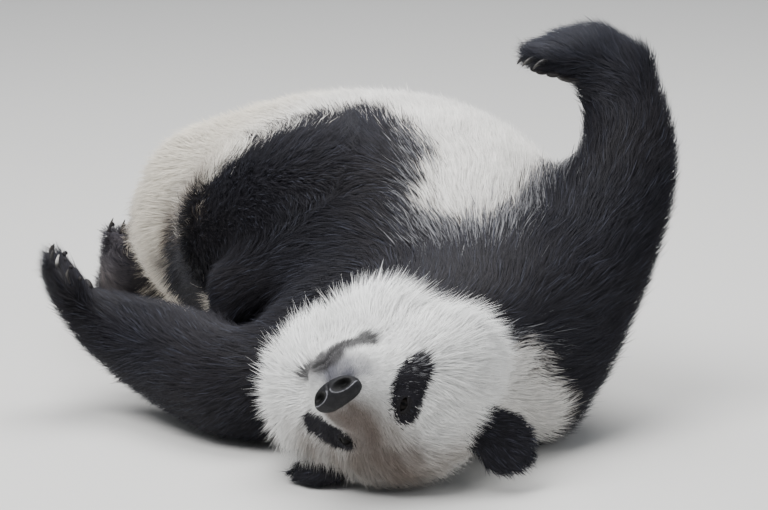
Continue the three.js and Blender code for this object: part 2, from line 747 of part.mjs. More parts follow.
const behindHead = largest(free(body).intersect(beyond(HEAD_CUT.at, HEAD_CUT.normal, GAP / 2)));
const [trunk, tail] = parted(behindHead, mix(TAIL.root, TAIL.tip, TAIL.cut), sub(TAIL.tip, TAIL.root));
const [neck, withoutNeck] = parted(trunk, NECK_CUT.at, NECK_CUT.normal);
const [shoulders, withoutBand] = parted(withoutNeck, BAND_CUT.at, BAND_CUT.normal);
const [belly, rump] = parted(withoutBand, WAIST_CUT.at, WAIST_CUT.normal);
addNode('neck', neck, COLOURS.white);
addNode('shoulders', shoulders, COLOURS.black);
addNode('belly', belly, COLOURS.white);
addNode('tail', tail, COLOURS.white);

// A solid with locks fused to it, each cut clear of the floor and of the nodes beside it.
function withLocks(solid, locks, beside) {
  const kept = [FLOOR, ...beside.map((name) => grown(solids[name]))];
  return locks.reduce((sum, lock) => {
    const clear = kept.reduce((rest, other) => rest.subtract(other), lock);
    return sum.add(clear);
  }, solid);
}

const besideHead = [
  'neck', 'shoulders', 'upper_arm_left', 'upper_arm_right', 'forearm_left', 'ear_left', 'ear_right',
];
const besideRump = [
  'belly', 'tail', 'thigh_left', 'thigh_right', 'shank_left', 'shank_right', 'hindpaw_right',
];
addNode('head', withLocks(head, ruffLocks(), besideHead), COLOURS.white);
addNode('rump', withLocks(rump, fringeLocks(), besideRump), COLOURS.white);

export default group;
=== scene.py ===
import math

import bmesh
import bpy
import numpy as np
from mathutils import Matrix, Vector
from mathutils.bvhtree import BVHTree
from mathutils.kdtree import KDTree


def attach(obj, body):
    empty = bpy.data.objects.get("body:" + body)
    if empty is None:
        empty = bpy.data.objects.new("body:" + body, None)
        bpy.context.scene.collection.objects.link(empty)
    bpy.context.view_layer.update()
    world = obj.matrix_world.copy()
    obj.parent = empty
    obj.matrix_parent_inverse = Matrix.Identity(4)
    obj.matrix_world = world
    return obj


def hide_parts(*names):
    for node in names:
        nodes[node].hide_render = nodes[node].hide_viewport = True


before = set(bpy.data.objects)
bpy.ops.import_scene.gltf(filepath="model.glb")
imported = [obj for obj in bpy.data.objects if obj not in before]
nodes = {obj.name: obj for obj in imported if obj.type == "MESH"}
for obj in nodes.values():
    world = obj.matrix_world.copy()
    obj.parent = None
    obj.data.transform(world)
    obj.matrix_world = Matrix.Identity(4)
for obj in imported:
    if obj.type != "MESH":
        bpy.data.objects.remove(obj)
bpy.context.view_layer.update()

draw = np.random.default_rng(11)


# ---- small helpers ----

def unit(v):
    v = np.asarray(v, float)
    return v / np.maximum(np.linalg.norm(v, axis=-1, keepdims=True), 1e-9)


def dotted(a, b):
    return (a * b).sum(-1, keepdims=True)


def ramp(x, low, high):
    t = np.clip((np.asarray(x, float) - low) / (high - low), 0, 1)
    return t * t * (3 - 2 * t)


def mixed(a, b, t):
    return a + (b - a) * t


def bell(x, width):
    return np.exp(-(np.asarray(x, float) / width) ** 2)


# A smooth random pattern over space, about -1 to 1, with features of the given size.
def mottle(points, size, seed):
    waves = np.random.default_rng(seed)
    total = np.zeros(len(points))
    for _ in range(7):
        wave = unit(waves.normal(size=3)) * (2 * math.pi / size) * waves.uniform(0.6, 1.4)
        total += np.sin(points @ wave + waves.uniform(0, 2 * math.pi))
    return total / 2.6


def lengthOf(v):
    return np.linalg.norm(v, axis=-1)


def limbDistance(p, a, b, radiusA=0.0, radiusB=0.0):
    a, b = np.array(a), np.array(b)
    t = np.clip((p - a) @ (b - a) / ((b - a) @ (b - a)), 0, 1)
    return lengthOf(p - a - t[:, None] * (b - a)) - radiusA - (radiusB - radiusA) * t


def distanceToLine(p, line):
    return np.min([limbDistance(p, a, b) for a, b in zip(line[:-1], line[1:])], axis=0)


# Axes of a frame as rows: x along the first direction, z nearest to the second.
def axesOf(forward, up):
    x = unit(forward)
    y = unit(np.cross(up, x))
    return np.array([x, y, np.cross(x, y)])


def meshObject(name, mesh, material=None):
    thing = bpy.data.objects.new(name, mesh)
    bpy.context.scene.collection.objects.link(thing)
    if material:
        mesh.materials.append(material)
    return thing


# A value of each item of a mesh, as the rows of an array.
def gathered(items, key, width=3, kind=float):
    values = np.empty(len(items) * width, kind)
    items.foreach_get(key, values)
    return values.reshape(-1, width)


def pointsOf(mesh):
    return gathered(mesh.vertices, "co")


def setPoints(mesh, co):
    mesh.vertices.foreach_set("co", np.ascontiguousarray(co, np.float32).ravel())
    mesh.update()


def normalsOf(mesh):
    return gathered(mesh.vertex_normals, "vector")


def smoothed(mesh):
    mesh.polygons.foreach_set("use_smooth", np.ones(len(mesh.polygons), bool))
    return mesh


def paintPoints(mesh, colour):
    layer = mesh.attributes.new("coatColour", "FLOAT_COLOR", "POINT")
    rgba = np.concatenate([colour, np.ones((len(colour), 1))], axis=1)
    layer.data.foreach_set("color", rgba.astype(np.float32).ravel())


def painted(mesh, colour):
    paintPoints(mesh, colour)
    return smoothed(mesh)


def finderOf(points):
    finder = KDTree(len(points))
    for n, point in enumerate(points.tolist()):
        finder.insert(point, n)
    finder.balance()
    return finder


def meshFrom(bm, name):
    mesh = bpy.data.meshes.new(name)
    bm.to_mesh(mesh)
    bm.free()
    return mesh


def joined(name, meshes):
    bm = bmesh.new()
    for mesh in meshes:
        bm.from_mesh(mesh)
    return meshFrom(bm, name)


# A ball whose points a function moves: the start of every rounded form here.
def ballMesh(name, shape, around=48, rings=32):
    bm = bmesh.new()
    bmesh.ops.create_uvsphere(bm, u_segments=around, v_segments=rings, radius=1)
    mesh = meshFrom(bm, name)
    setPoints(mesh, shape(unit(pointsOf(mesh))))
    return mesh


# ---- which nodes are what ----

legParts = ("upper_arm", "forearm", "forepaw", "thigh", "shank", "hindpaw")
legNodes = [f"{part}_{side}" for part in legParts for side in ("left", "right")]
pawNodes = [name for name in legNodes if "paw" in name]
earNodes = ["ear_left", "ear_right"]
whiteNodes = ["neck", "belly", "rump", "tail"]
blackNodes = ["shoulders"] + legNodes
faceNodes = ["head", "eye_patch_left", "eye_patch_right"]


# ---- head: its frame has x out of the muzzle, y to its left ear, z to its crown ----

head = {
    "centre": (0.012, -0.5, 0.101),
    "forward": (-0.436, -0.863, 0.254),
    "crown": (0.427, -0.446, -0.787),
    "eggs": [
        ((-0.01, 0, 0.004), (0.102, 0.108, 0.094)),
        ((-0.008, 0.066, -0.052), (0.088, 0.083, 0.094)),
        ((-0.008, -0.06, -0.012), (0.088, 0.091, 0.068)),
        ((-0.01, -0.01, -0.069), (0.078, 0.086, 0.077)),
    ],
    "limbs": [
        ((0.02, 0, -0.022), (0.094, 0, -0.03), 0.068, 0.046),
        ((0.05, 0, 0.006), (0.112, 0, -0.01), 0.034, 0.028),
    ],
    "blend": 0.03,
    "faceDepth": 0.0035,
    "cheekDepth": 0.016,
}
headCentre = np.array(head["centre"])
headAxes = axesOf(head["forward"], head["crown"])


def toHead(points):
    return (points - headCentre) @ headAxes.T


def fromHead(points):
    return headCentre + np.asarray(points, float) @ headAxes


def headDistance(p):
    total = np.full(len(p), 10.0)
    fields = [(lengthOf((p - np.array(at)) / np.array(size)) - 1) * min(size)
              for at, size in head["eggs"]]
    fields += [limbDistance(p, *limb) for limb in head["limbs"]]
    for field in fields:
        h = np.maximum(head["blend"] - np.abs(total - field), 0) / head["blend"]
        total = np.minimum(total, field) - h * h * head["blend"] / 4
    return total


# How far the head's coat reaches from its centre, along directions in its frame.
def headReach(towards):
    distance = np.full(len(towards), 0.26)
    for _ in range(40):
        distance -= headDistance(towards * distance[:, None]) * 0.8
    return distance


def headDepth(towards):
    front = towards[:, 0]
    depth = mixed(head["cheekDepth"], head["faceDepth"], ramp(front, 0.1, 0.86))
    return depth - 0.006 * ramp(towards[:, 2], 0.3, 0.9) * (1 - ramp(front, 0.3, 0.8))


# ---- legs: the balls along each, and its paw ----

legs = {
    "arm_right": {
        "chain": [(0.182, -0.282, 0.068), (0.258, -0.196, 0.205), (0.31, -0.15, 0.335),
                  (0.298, -0.13, 0.44)],
        "radii": [0.079, 0.084, 0.07, 0.055],
        "toes": (-0.98, -0.12, 0.06), "back": (0.05, 0.1, 1), "lift": 0.026, "paw": "bentFront",
    },
    "arm_left": {
        "chain": [(0.01, -0.165, 0.175), (-0.15, -0.296, 0.076), (-0.285, -0.156, 0.088),
                  (-0.359, -0.105, 0.112)],
        "radii": [0.1, 0.076, 0.069, 0.05],
        "toes": (-0.52, -0.35, 0.78), "back": (-0.86, -0.15, -0.48), "lift": 0.01, "paw": "straightFront",
    },
    "leg_left": {
        "chain": [(-0.168, 0.045, 0.205), (-0.08, -0.048, 0.235), (0.018, -0.112, 0.268),
                  (-0.09, -0.13, 0.195), (-0.18, -0.105, 0.15)],
        "radii": [0.108, 0.118, 0.084, 0.072, 0.056],
        "toes": (-0.35, 0.5, -0.8), "back": (-0.9, -0.35, 0.1), "lift": 0, "paw": "hind",
    },
    "leg_right": {
        "chain": [(-0.06, 0.3, 0.165), (-0.15, 0.42, 0.13), (-0.215, 0.47, 0.11),
                  (-0.346, 0.412, 0.049), (-0.364, 0.39, 0.054)],
        "radii": [0.125, 0.105, 0.085, 0.043, 0.045],
        "toes": (0.12, -0.67, 0.69), "back": (-0.35, -0.8, -0.45), "lift": 0, "paw": "hind",
    },
}
paws = {
    "bentFront": {"palm": (0.066, 0.052, 0.038), "palmAt": 0.042,
                  "toeAt": 0.104, "spread": 0.021, "toeRadius": 0.024},
    "straightFront": {"palm": (0.072, 0.05, 0.03), "palmAt": 0.048, "toeAt": 0.107, "spread": 0.02,
                      "toeRadius": 0.021},
    "hind": {"palm": (0.08, 0.044, 0.031), "palmAt": 0.05,
             "toeAt": 0.112, "spread": 0.018, "toeRadius": 0.016},
}
# How the outer toes stand back and down from the middle one, and how far it lies under the palm's middle.
toeRow = {"back": 0.0035, "down": 0.0015, "drop": 0.004}
trunk = {
    "chain": [(0.04, -0.43, 0.112), (0.132, -0.225, 0.15), (0.068, -0.04, 0.196), (-0.07, 0.13, 0.189),
              (-0.2, 0.24, 0.178), (-0.29, 0.385, 0.05)],
    "radii": [0.108, 0.148, 0.188, 0.187, 0.146, 0.04],
}


def pawPlace(leg):
    axes = axesOf(leg["toes"], leg["back"])
    return np.array(leg["chain"][-1]) + axes[2] * leg["lift"], axes


def toePlace(paw, n):
    across = n - 2
    back, down = toeRow["back"] * across ** 2, toeRow["down"] * abs(across)
    return np.array([paw["toeAt"] - back, across * paw["spread"], -toeRow["drop"] - down])


# ---- flesh: the joined solids, with smoother paws, ears and head ----

ears = {
    "right": {
        "at": fromHead((-0.045, -0.088, 0.098)),
        "axes": axesOf(np.array((0.8, -0.55, 0.2)) @ headAxes, head["crown"]),
        "size": (0.017, 0.046, 0.048),
    },
    "left": {
        "at": np.array((-0.074, -0.49, 0.014)),
        "axes": axesOf((0, 0, 1), (1, 0, 0)),
        "size": (0.014, 0.04, 0.052),
    },
}
earCup = {"shift": 0.82, "share": 0.74}


def earMesh(ear):
    def shape(u):
        x = u[:, 2].copy()       # out of the cup
        off = np.hypot(u[:, 0], u[:, 1])
        inside = np.sqrt(np.maximum(1 - (off / earCup["share"]) ** 2, 0))
        cup = np.where(inside > 0, earCup["shift"] - earCup["share"] * inside, 9)
        x = np.where(x > 0, np.minimum(x, cup), x)
        return ear["at"] + (np.stack([x, u[:, 0], u[:, 1]], axis=1) * np.array(ear["size"])) @ ear["axes"]
    return ballMesh("ear", shape)


def limbMesh(a, b, radiusA, radiusB):
    a, b = np.array(a), np.array(b)

    def shape(u):
        ahead = u @ (b - a) > 0
        return np.where(ahead[:, None], b + u * radiusB, a + u * radiusA)
    return ballMesh("limb", shape, 32, 24)


def pawMeshes(leg):
    paw = paws[leg["paw"]]
    origin, axes = pawPlace(leg)
    palmCentre = np.array([paw["palmAt"], 0, 0])
    meshes = [ballMesh("palm", lambda u: origin + (palmCentre + u * np.array(paw["palm"])) @ axes)]
    wrist = [np.array(leg["chain"][-1]), origin + palmCentre @ axes * 0.7]
    meshes.append(limbMesh(*wrist, leg["radii"][-1] * 0.96, paw["palm"][2] * 1.1))
    between = np.array([paw["toeAt"] - 0.014, 0, -0.003])
    size = np.array([0.028, 2 * paw["spread"] + 0.01, paw["toeRadius"] * 0.88])
    meshes.append(ballMesh("betweenToes", lambda u: origin + (between + u * size) @ axes))
    for n in range(5):
        tip = toePlace(paw, n)
        root = tip * (1, 0.8, 1) + (-0.04, 0, 0.004)
        ends = [origin + place @ axes for place in (root, tip)]
        meshes.append(limbMesh(*ends, paw["toeRadius"], paw["toeRadius"] - 0.001))
    return meshes


def fleshMesh():
    meshes = [nodes[name].data for name in whiteNodes + blackNodes if name not in pawNodes]
    meshes.append(ballMesh("headForm", lambda u: fromHead(u * headReach(u)[:, None]), 96, 64))
    meshes += [earMesh(ear) for ear in ears.values()]
    for leg in legs.values():
        meshes += pawMeshes(leg)
    return joined("flesh", meshes)


skinSizes = {
    "voxel": 0.0064,
    "depth": 0.0055,  # how far all of the skin lies under the coat's tips
    "floor": 0.004,  # the least height of skin over the floor
    "smoothing": (24, 0.5),  # rounds, and how far each moves a point
    "evening": (3, 0.35),
    "kept": {"ear": 0.9, "forepaw": 0.7, "hindpaw": 0.7},  # the share of smoothing that they are spared
    "headKept": 0.8,
    "blendRounds": 14,  # for evening out the coat's values from part to part
    "headFade": 0.02,  # over which the head's own shape gives way to the neck
    "finer": (0.026, 0.017),  # the mesh is split again this near to the face's marks, and to the eyes
}


def evaluatedMesh(thing):
    graph = bpy.context.evaluated_depsgraph_get()
    return bpy.data.meshes.new_from_object(thing.evaluated_get(graph))


# The flesh's surface moved in by a distance, which also takes off the thin locks of the solids.
def shrunk(mesh, depth):
    flesh = meshObject("fleshJoined", mesh)
    remesh = flesh.modifiers.new("joined", "REMESH")
    remesh.mode = "VOXEL"
    remesh.voxel_size = skinSizes["voxel"]
    volumeThing = bpy.data.objects.new("fleshVolume", bpy.data.volumes.new("fleshVolume"))
    bpy.context.scene.collection.objects.link(volumeThing)
    fill = volumeThing.modifiers.new("fill", "MESH_TO_VOLUME")
    fill.object = flesh
    fill.resolution_mode = "VOXEL_SIZE"
    fill.voxel_size = skinSizes["voxel"]
    fill.interior_band_width = 6 * skinSizes["voxel"]
    shell = meshObject("fleshShell", bpy.data.meshes.new("fleshShell"))
    surface = shell.modifiers.new("surface", "VOLUME_TO_MESH")
    surface.object = volumeThing
    surface.resolution_mode = "GRID"
    surface.threshold = depth / fill.interior_band_width
    result = evaluatedMesh(shell)
    for thing in (flesh, volumeThing, shell):
        bpy.data.objects.remove(thing)
    return result


# ---- coat: what each part wears. Lengths in metres, density against the body's ----

coatKeys = ("depth", "length", "width", "density")
coatKinds = {
    "rump": (0.016, 0.034, 0.0014, 1.2),
    "belly": (0.014, 0.029, 0.0013, 1.2),
    "tail": (0.014, 0.036, 0.0015, 1),
    "neck": (0.014, 0.03, 0.0013, 1.2),
    "shoulders": (0.014, 0.032, 0.0011, 1),
    "upper_arm": (0.013, 0.029, 0.0011, 1),
    "forearm": (0.011, 0.025, 0.0011, 1),
    "forepaw": (0.009, 0.027, 0.0011, 1.6),
    "thigh": (0.013, 0.028, 0.0011, 1),
    "shank": (0.011, 0.025, 0.0011, 1),
    "hindpaw": (0.008, 0.02, 0.001, 2.0),
    "head": (0.01, 0.022, 0.0012, 1.8),
    "ear": (0.005, 0.014, 0.0011, 2.2),
}
kindNames = list(coatKinds)


class NodeFinder:
    # Finds which of some CAD nodes a point lies nearest to, and how far off it is.
    def __init__(self, names):
        bm = bmesh.new()
        owners = []
        for order, name in enumerate(names):
            bm.from_mesh(nodes[name].data)
            owners += [order] * (len(bm.faces) - len(owners))
        self.names = names
        self.owners = np.array(owners)
        self.tree = BVHTree.FromBMesh(bm)
        bm.free()

    def nearest(self, points):
        found = [self.tree.find_nearest(point) for point in points.tolist()]
        return self.owners[[hit[2] for hit in found]], np.array([hit[3] for hit in found])


# The part of the animal that each point belongs to, as an index into the coat's kinds.
def kindsAt(points):
    names = whiteNodes + blackNodes + ["head"] + earNodes
    kindOfNode = [next(n for n, kind in enumerate(kindNames) if name.startswith(kind)) for name in names]
    return np.array(kindOfNode)[NodeFinder(names).nearest(points)[0]]


# What the parts of these kinds wear, for one of the coat's keys.
def worn(kinds, key):
    return np.array([row[coatKeys.index(key)] for row in coatKinds.values()], float)[kinds]


def ofKind(kinds, *names):
    return np.isin(kinds, [kindNames.index(name) for name in names]).astype(float)


class Web:
    # The edges of a mesh, for evening out values that its points carry.
    def __init__(self, mesh):
        self.edges = gathered(mesh.edges, "vertices", 2, np.int64)
        self.size = len(mesh.vertices)
        self.links = np.maximum(np.bincount(self.edges.ravel(), minlength=self.size), 1)

    def around(self, values):
        a, b = self.edges.T
        columns = np.asarray(values, float).reshape(self.size, -1).T
        total = [np.bincount(a, column[b], self.size) + np.bincount(b, column[a], self.size)
                 for column in columns]
        return (np.array(total) / self.links).T

    def evened(self, values, rounds, amount=0.5):
        values = np.asarray(values, float).reshape(self.size, -1)
        for _ in range(rounds):
            values = values + (self.around(values) - values) * amount
        return values


# ---- face ----

nose = {
    "at": (0.136, 0.003, -0.0115),
    "size": (0.02, 0.031, 0.0168),
    "nostril": (0.55, -0.16),  # across and up, against the size
    "nostrilSize": (0.44, 0.48),
    "nostrilDepth": 0.0105,
    "rim": 0.0009,
    "leather": (0.006, 0.006, 0.0075),
    # the nostrils' hollows are painted darker than the leather: painted shade
    "hollowShade": (0.002, 0.002, 0.002),
    # the nostrils' rims are painted lighter: partly a drier edge of the leather and partly a painted
    # highlight
    "rimColour": (0.16, 0.16, 0.175),
}
face = {
    "eye": (0.085, 0.046, 0.028),  # towards the left eye, from the head's centre
    "eyeRadius": 0.011,
    "eyeSink": 0.0118,
    "lidRadius": 0.0126,
    "slit": (0.009, 0.0042),  # half length and half height of the opened lids
    "slitTurn": 0.75,
    "mouth": [(0.07, 0.06, -0.073), (0.1, 0.044, -0.066), (0.128, 0.018, -0.055), (0.135, 0.002, -0.051),
              (0.128, -0.008, -0.057), (0.119, -0.018, -0.062), (0.106, -0.029, -0.064),
              (0.094, -0.036, -0.064), (0.08, -0.046, -0.067), (0.07, -0.057, -0.073)],
    "philtrum": [(0.152, 0.003, -0.028), (0.142, 0.002, -0.042), (0.135, 0.002, -0.051)],
    # the eye patches: places along the middle of each, and its half width there
    "patches": {
        1: [((0.078, 0.077, -0.012), 0.015), ((0.079, 0.069, -0.001), 0.018), ((0.08, 0.061, 0.009), 0.0185),
            ((0.081, 0.055, 0.018), 0.0185), ((0.08, 0.05, 0.027), 0.0165)],
        -1: [((0.079, -0.081, -0.002), 0.02), ((0.082, -0.07, 0.007), 0.021),
             ((0.083, -0.059, 0.017), 0.0205), ((0.083, -0.049, 0.028), 0.0185),
             ((0.08, -0.042, 0.038), 0.0155)],
    },
}


def sided(side, p):
    return np.asarray(p, float) * (1, side, 1)


def eyeFrame(side):
    towards = unit(sided(side, face["eye"]))
    centre = towards * (headReach(towards[None])[0] - face["eyeSink"])
    across = unit(np.cross((0, 0, 1), towards))
    up = np.cross(towards, across)
    turn = face["slitTurn"] * side
    along = across * math.cos(turn) - up * math.sin(turn)
    return centre, np.array([towards, along, np.cross(towards, along)])


eyeFrames = {side: eyeFrame(side) for side in (1, -1)}


def onFace(line, inward=0.0):
    towards = unit(np.array(line))
    return towards * (headReach(towards) - headDepth(towards) * inward)[:, None]


mouthLine = onFace(face["mouth"], 1)
philtrumLine = onFace(face["philtrum"], 1)


# Points that belong to the head move onto its own shape, and fade into the neck.
def ontoHead(co):
    local = toHead(co)
    distance = lengthOf(local)
    towards = local / np.maximum(distance, 1e-6)[:, None]
    away = np.abs(distance - (headReach(towards) - skinSizes["depth"]))
    share = 1 - ramp(away, 0.003, skinSizes["headFade"])
    share *= ramp(local[:, 0], -0.085, -0.035)
    radius = mixed(distance, headReach(towards) - headDepth(towards), share)
    return fromHead(towards * radius[:, None]), share


# How far the face's skin stands out for lips, lids and folds, at points in the head's frame.
def faceRelief(p):
    lips = distanceToLine(p, mouthLine)
    out = 0.0015 * bell(lips - 0.005, 0.0028) - 0.0042 * bell(lips, 0.002)
    out -= 0.0022 * bell(distanceToLine(p, philtrumLine), 0.0018)
    for centre, axes in eyeFrames.values():
        x, y, z = ((p - centre) @ axes.T).T
        off = np.hypot(y, z)
        along, high = face["slit"]
        almond = np.abs(z) / np.maximum(high * (1 - (y / along) ** 2), 1e-5)
        opened = (almond < 1) & (np.abs(y) < along)
        lid = np.sqrt(np.maximum(face["lidRadius"] ** 2 - off ** 2, 0))
        ball = np.sqrt(np.maximum(face["eyeRadius"] ** 2 - off ** 2, 0))
        blend = np.maximum(0.005 - np.abs(lid - x), 0) / 0.005
        over = np.maximum(lid, x) + blend * blend * 0.00125
        lidded = np.where(off < face["lidRadius"] + 0.004, over - x, 0)
        out += np.where(opened, ball - 0.0028 - x, lidded)
        fold = bell(z - high - 0.0026, 0.001) * bell(y, along * 0.9)
        out -= np.where(opened, 0, 0.001 * fold)
        out -= 0.002 * bell(off - 0.019, 0.005)
    return out


def nearFace(co, reach):
    local = toHead(co)
    marks = [np.array(nose["at"])] + [centre for centre, _ in eyeFrames.values()] + list(mouthLine)
    return np.min([lengthOf(local - mark) for mark in marks], axis=0) < reach


def eyeDistance(co):
    local = toHead(co)
    return np.min([lengthOf(local - centre) for centre, _ in eyeFrames.values()], axis=0)


def indexed(bm):
    bm.verts.ensure_lookup_table()
    bm.verts.index_update()
    return np.array([v.co for v in bm.verts])


def split(bm, wanted):
    edges = [edge for edge in bm.edges if all(wanted[v.index] for v in edge.verts)]
    bmesh.ops.subdivide_edges(bm, edges=edges, cuts=1, use_grid_fill=True)


def keepLargest(bm):
    bm.verts.ensure_lookup_table()
    bm.verts.index_update()
    unseen = set(range(len(bm.verts)))
    islands = []
    while unseen:
        front = [unseen.pop()]
        island = list(front)
        while front:
            linked = {edge.other_vert(bm.verts[n]).index for n in front for edge in bm.verts[n].link_edges}
            front = list(linked & unseen)
            unseen.difference_update(front)
            island += front
        islands.append(island)
    scraps = sorted(islands, key=len)[:-1]
    bmesh.ops.delete(bm, geom=[bm.verts[n] for island in scraps for n in island], context="VERTS")


# The skin, as triangles, and the values that its points carry.
def makeSkin():
    mesh = shrunk(fleshMesh(), skinSizes["depth"])
    bm = bmesh.new()
    bm.from_mesh(mesh)
    keepLargest(bm)
    co = indexed(bm)
    _, share = ontoHead(co)
    split(bm, (share > 0.5) & (toHead(co)[:, 0] > -0.01))
    nearMarks, nearEyes = skinSizes["finer"]
    split(bm, nearFace(indexed(bm), nearMarks))
    split(bm, eyeDistance(indexed(bm)) < nearEyes)
    bmesh.ops.triangulate(bm, faces=bm.faces)
    bm.to_mesh(mesh)
    bm.free()

    web = Web(mesh)
    co = pointsOf(mesh)
    _, share = ontoHead(co)
    kinds = kindsAt(co)
    kept = web.evened(sum(spared * ofKind(kinds, name) for name, spared in skinSizes["kept"].items()), 5)
    rounds, amount = skinSizes["smoothing"]
    amount = amount * (1 - kept) * (1 - skinSizes["headKept"] * share[:, None])
    for _ in range(rounds):
        co += (web.around(co) - co) * amount
    rounds, amount = skinSizes["evening"]
    for _ in range(rounds):
        co += (web.around(co) - co) * amount
    setPoints(mesh, co)
    depth = worn(kinds, "depth") - skinSizes["depth"]
    depth = web.evened(depth * (1 - share), skinSizes["blendRounds"])
    co -= normalsOf(mesh) * depth
    co, _ = ontoHead(co)
    co += (web.around(co) - co) * 0.3 * (share[:, None] > 0.01)
    setPoints(mesh, co)
    relief = faceRelief(toHead(co)) * (share > 0.5)
    co += normalsOf(mesh) * relief[:, None]
    co[:, 2] = np.maximum(co[:, 2], skinSizes["floor"])
    setPoints(mesh, co)
    return smoothed(mesh), web, kinds, share


# ---- markings: black where positive, in metres from the border along the coat's surface ----

# The white of belly and rump, seen from above: the border along the thigh and over the chest.
whiteOutline = np.array([
    (-0.6, 0.062), (-0.274, 0.06), (-0.248, 0.042), (-0.225, 0.032), (-0.202, 0.03), (-0.175, 0.033),
    (-0.149, 0.034), (-0.126, 0.034), (-0.1, 0.036), (-0.07, 0.02), (-0.017, -0.035), (0.014, -0.067),
    (0.036, -0.117), (0.051, -0.149), (0.056, -0.176), (0.05, -0.198), (0.04, -0.222), (0.07, -0.25),
    (0.119, -0.265), (0.145, -0.247), (0.175, -0.205), (0.198, -0.147), (0.215, -0.098), (0.29, 0.01),
    (0.6, 0.2), (0.6, 0.8), (-0.6, 0.8),
])


def outsideOutline(points, outline):
    p = points[:, :2]
    away = np.full(len(p), 9.0)
    inside = np.zeros(len(p), bool)
    for a, b in zip(outline, np.roll(outline, -1, axis=0)):
        away = np.minimum(away, limbDistance(p, a, b))
        crosses = (a[1] > p[:, 1]) != (b[1] > p[:, 1])
        x = a[0] + (p[:, 1] - a[1]) / ((b[1] - a[1]) or 1e-9) * (b[0] - a[0])
        inside ^= crosses & (p[:, 0] < x)
    return np.where(inside, -away, away)


def headMarks(p):
    inside = np.full(len(p), -1.0)
    for patch in face["patches"].values():
        places = onFace([place for place, _ in patch])
        for a, b, (_, radiusA), (_, radiusB) in zip(places[:-1], places[1:], patch[:-1], patch[1:]):
            inside = np.maximum(inside, -limbDistance(p, a, b, radiusA, radiusB))
    return inside


def markings(co, kinds, share):
    white = NodeFinder(whiteNodes + ["head"]).nearest(co)[1]
    upper = white - NodeFinder(["shoulders", "thigh_left"]).nearest(co)[1]
    others = [name for name in blackNodes if name not in ("shoulders", "thigh_left")]
    lower = white - NodeFinder(others).nearest(co)[1]
    seen = ramp(co[:, 2], 0.15, 0.23) * (1 - ramp(co[:, 1], 0.2, 0.26))
    upper = mixed(upper, outsideOutline(co, whiteOutline), seen)
    body = np.maximum(upper, lower)
    for at, reach, shift in borderShifts:
        body = body + shift * bell(lengthOf(co - np.array(at)), reach)
    ear = ofKind(kinds, "ear")
    body = np.where(ear > 0, 0.05, body)
    onHead = ofKind(kinds, "head") * (1 - ear)
    local = toHead(co)
    return np.where(onHead > 0, headMarks(local), body)


# ---- lie of the coat ----

coatLie = {
    "from": (0.15, 0.003, -0.012),  # the coat of the face runs away from here, in the head's frame
    "back": (-0.35, 0, 0),  # and more and more backwards past the muzzle, between these places
    "backFrom": (0.12, 0.02),
    "fall": 0.18,
    "reach": 0.022,  # how far each stretch of a leg or the trunk leads the coat
    "deepest": -0.05,
    "toes": (0.125, 0.03),  # how far past the wrist a leg's last stretch runs, and its radius
    "evening": 16,
    "swirls": ((0.35, 0.11, 21), (0.18, 0.035, 22)),  # strength, size and seed
}
routes = [(trunk["chain"], trunk["radii"])]
for leg in legs.values():
    place, axes = pawPlace(leg)
    further, radius = coatLie["toes"]
    routes.append((leg["chain"] + [place + axes[0] * further], leg["radii"] + [radius]))


def lieAt(co, normals, share, kinds):
    total = np.zeros_like(co)
    for route, radii in routes:
        for a, b, radiusA, radiusB in zip(route[:-1], route[1:], radii[:-1], radii[1:]):
            away = np.maximum(limbDistance(co, a, b, radiusA, radiusB), coatLie["deepest"])
            total += np.exp(-away / coatLie["reach"])[:, None] * unit(np.subtract(b, a))
    local = toHead(co)
    away = unit(local - np.array(coatLie["from"]))
    away = unit(away + np.array(coatLie["back"]) * ramp(local[:, :1], *coatLie["backFrom"]))
    lie = mixed(unit(total), away @ headAxes, np.maximum(share, ofKind(kinds, "head"))[:, None])
    lie = np.where((ofKind(kinds, "ear") > 0)[:, None], unit(co - headCentre), lie)
    lie = lie + np.array((0, 0, -coatLie["fall"]))
    return unit(lie - normals * dotted(lie, normals))


# ---- colours ----

colours = {
    "belly": (0.8, 0.78, 0.74),
    "rump": (0.79, 0.725, 0.61),
    "head": (0.89, 0.89, 0.87),
    "black": (0.0128, 0.0123, 0.0165),
    # bluish grey for some black hairs: a painted reflection of the sky
    "sheenGreyHair": (0.036, 0.038, 0.052),
    "pepper": (0.2, 0.2, 0.21),
    "border": (0.1, 0.078, 0.06),
    "muzzle": (0.115, 0.115, 0.135),
    "bridge": (0.145, 0.115, 0.1),
    "lips": (0.03, 0.028, 0.03),
    "greyBrown": (0.24, 0.2, 0.17),
    "fringe": (0.075, 0.068, 0.066),
    "lid": (0.012, 0.011, 0.012),
    "sole": (0.26, 0.225, 0.215),
    "foot": (0.18, 0.165, 0.185),
    # a painted bluish sheen, for the top of the right forepaw
    "paintedPawSheen": (0.026, 0.028, 0.039),
}
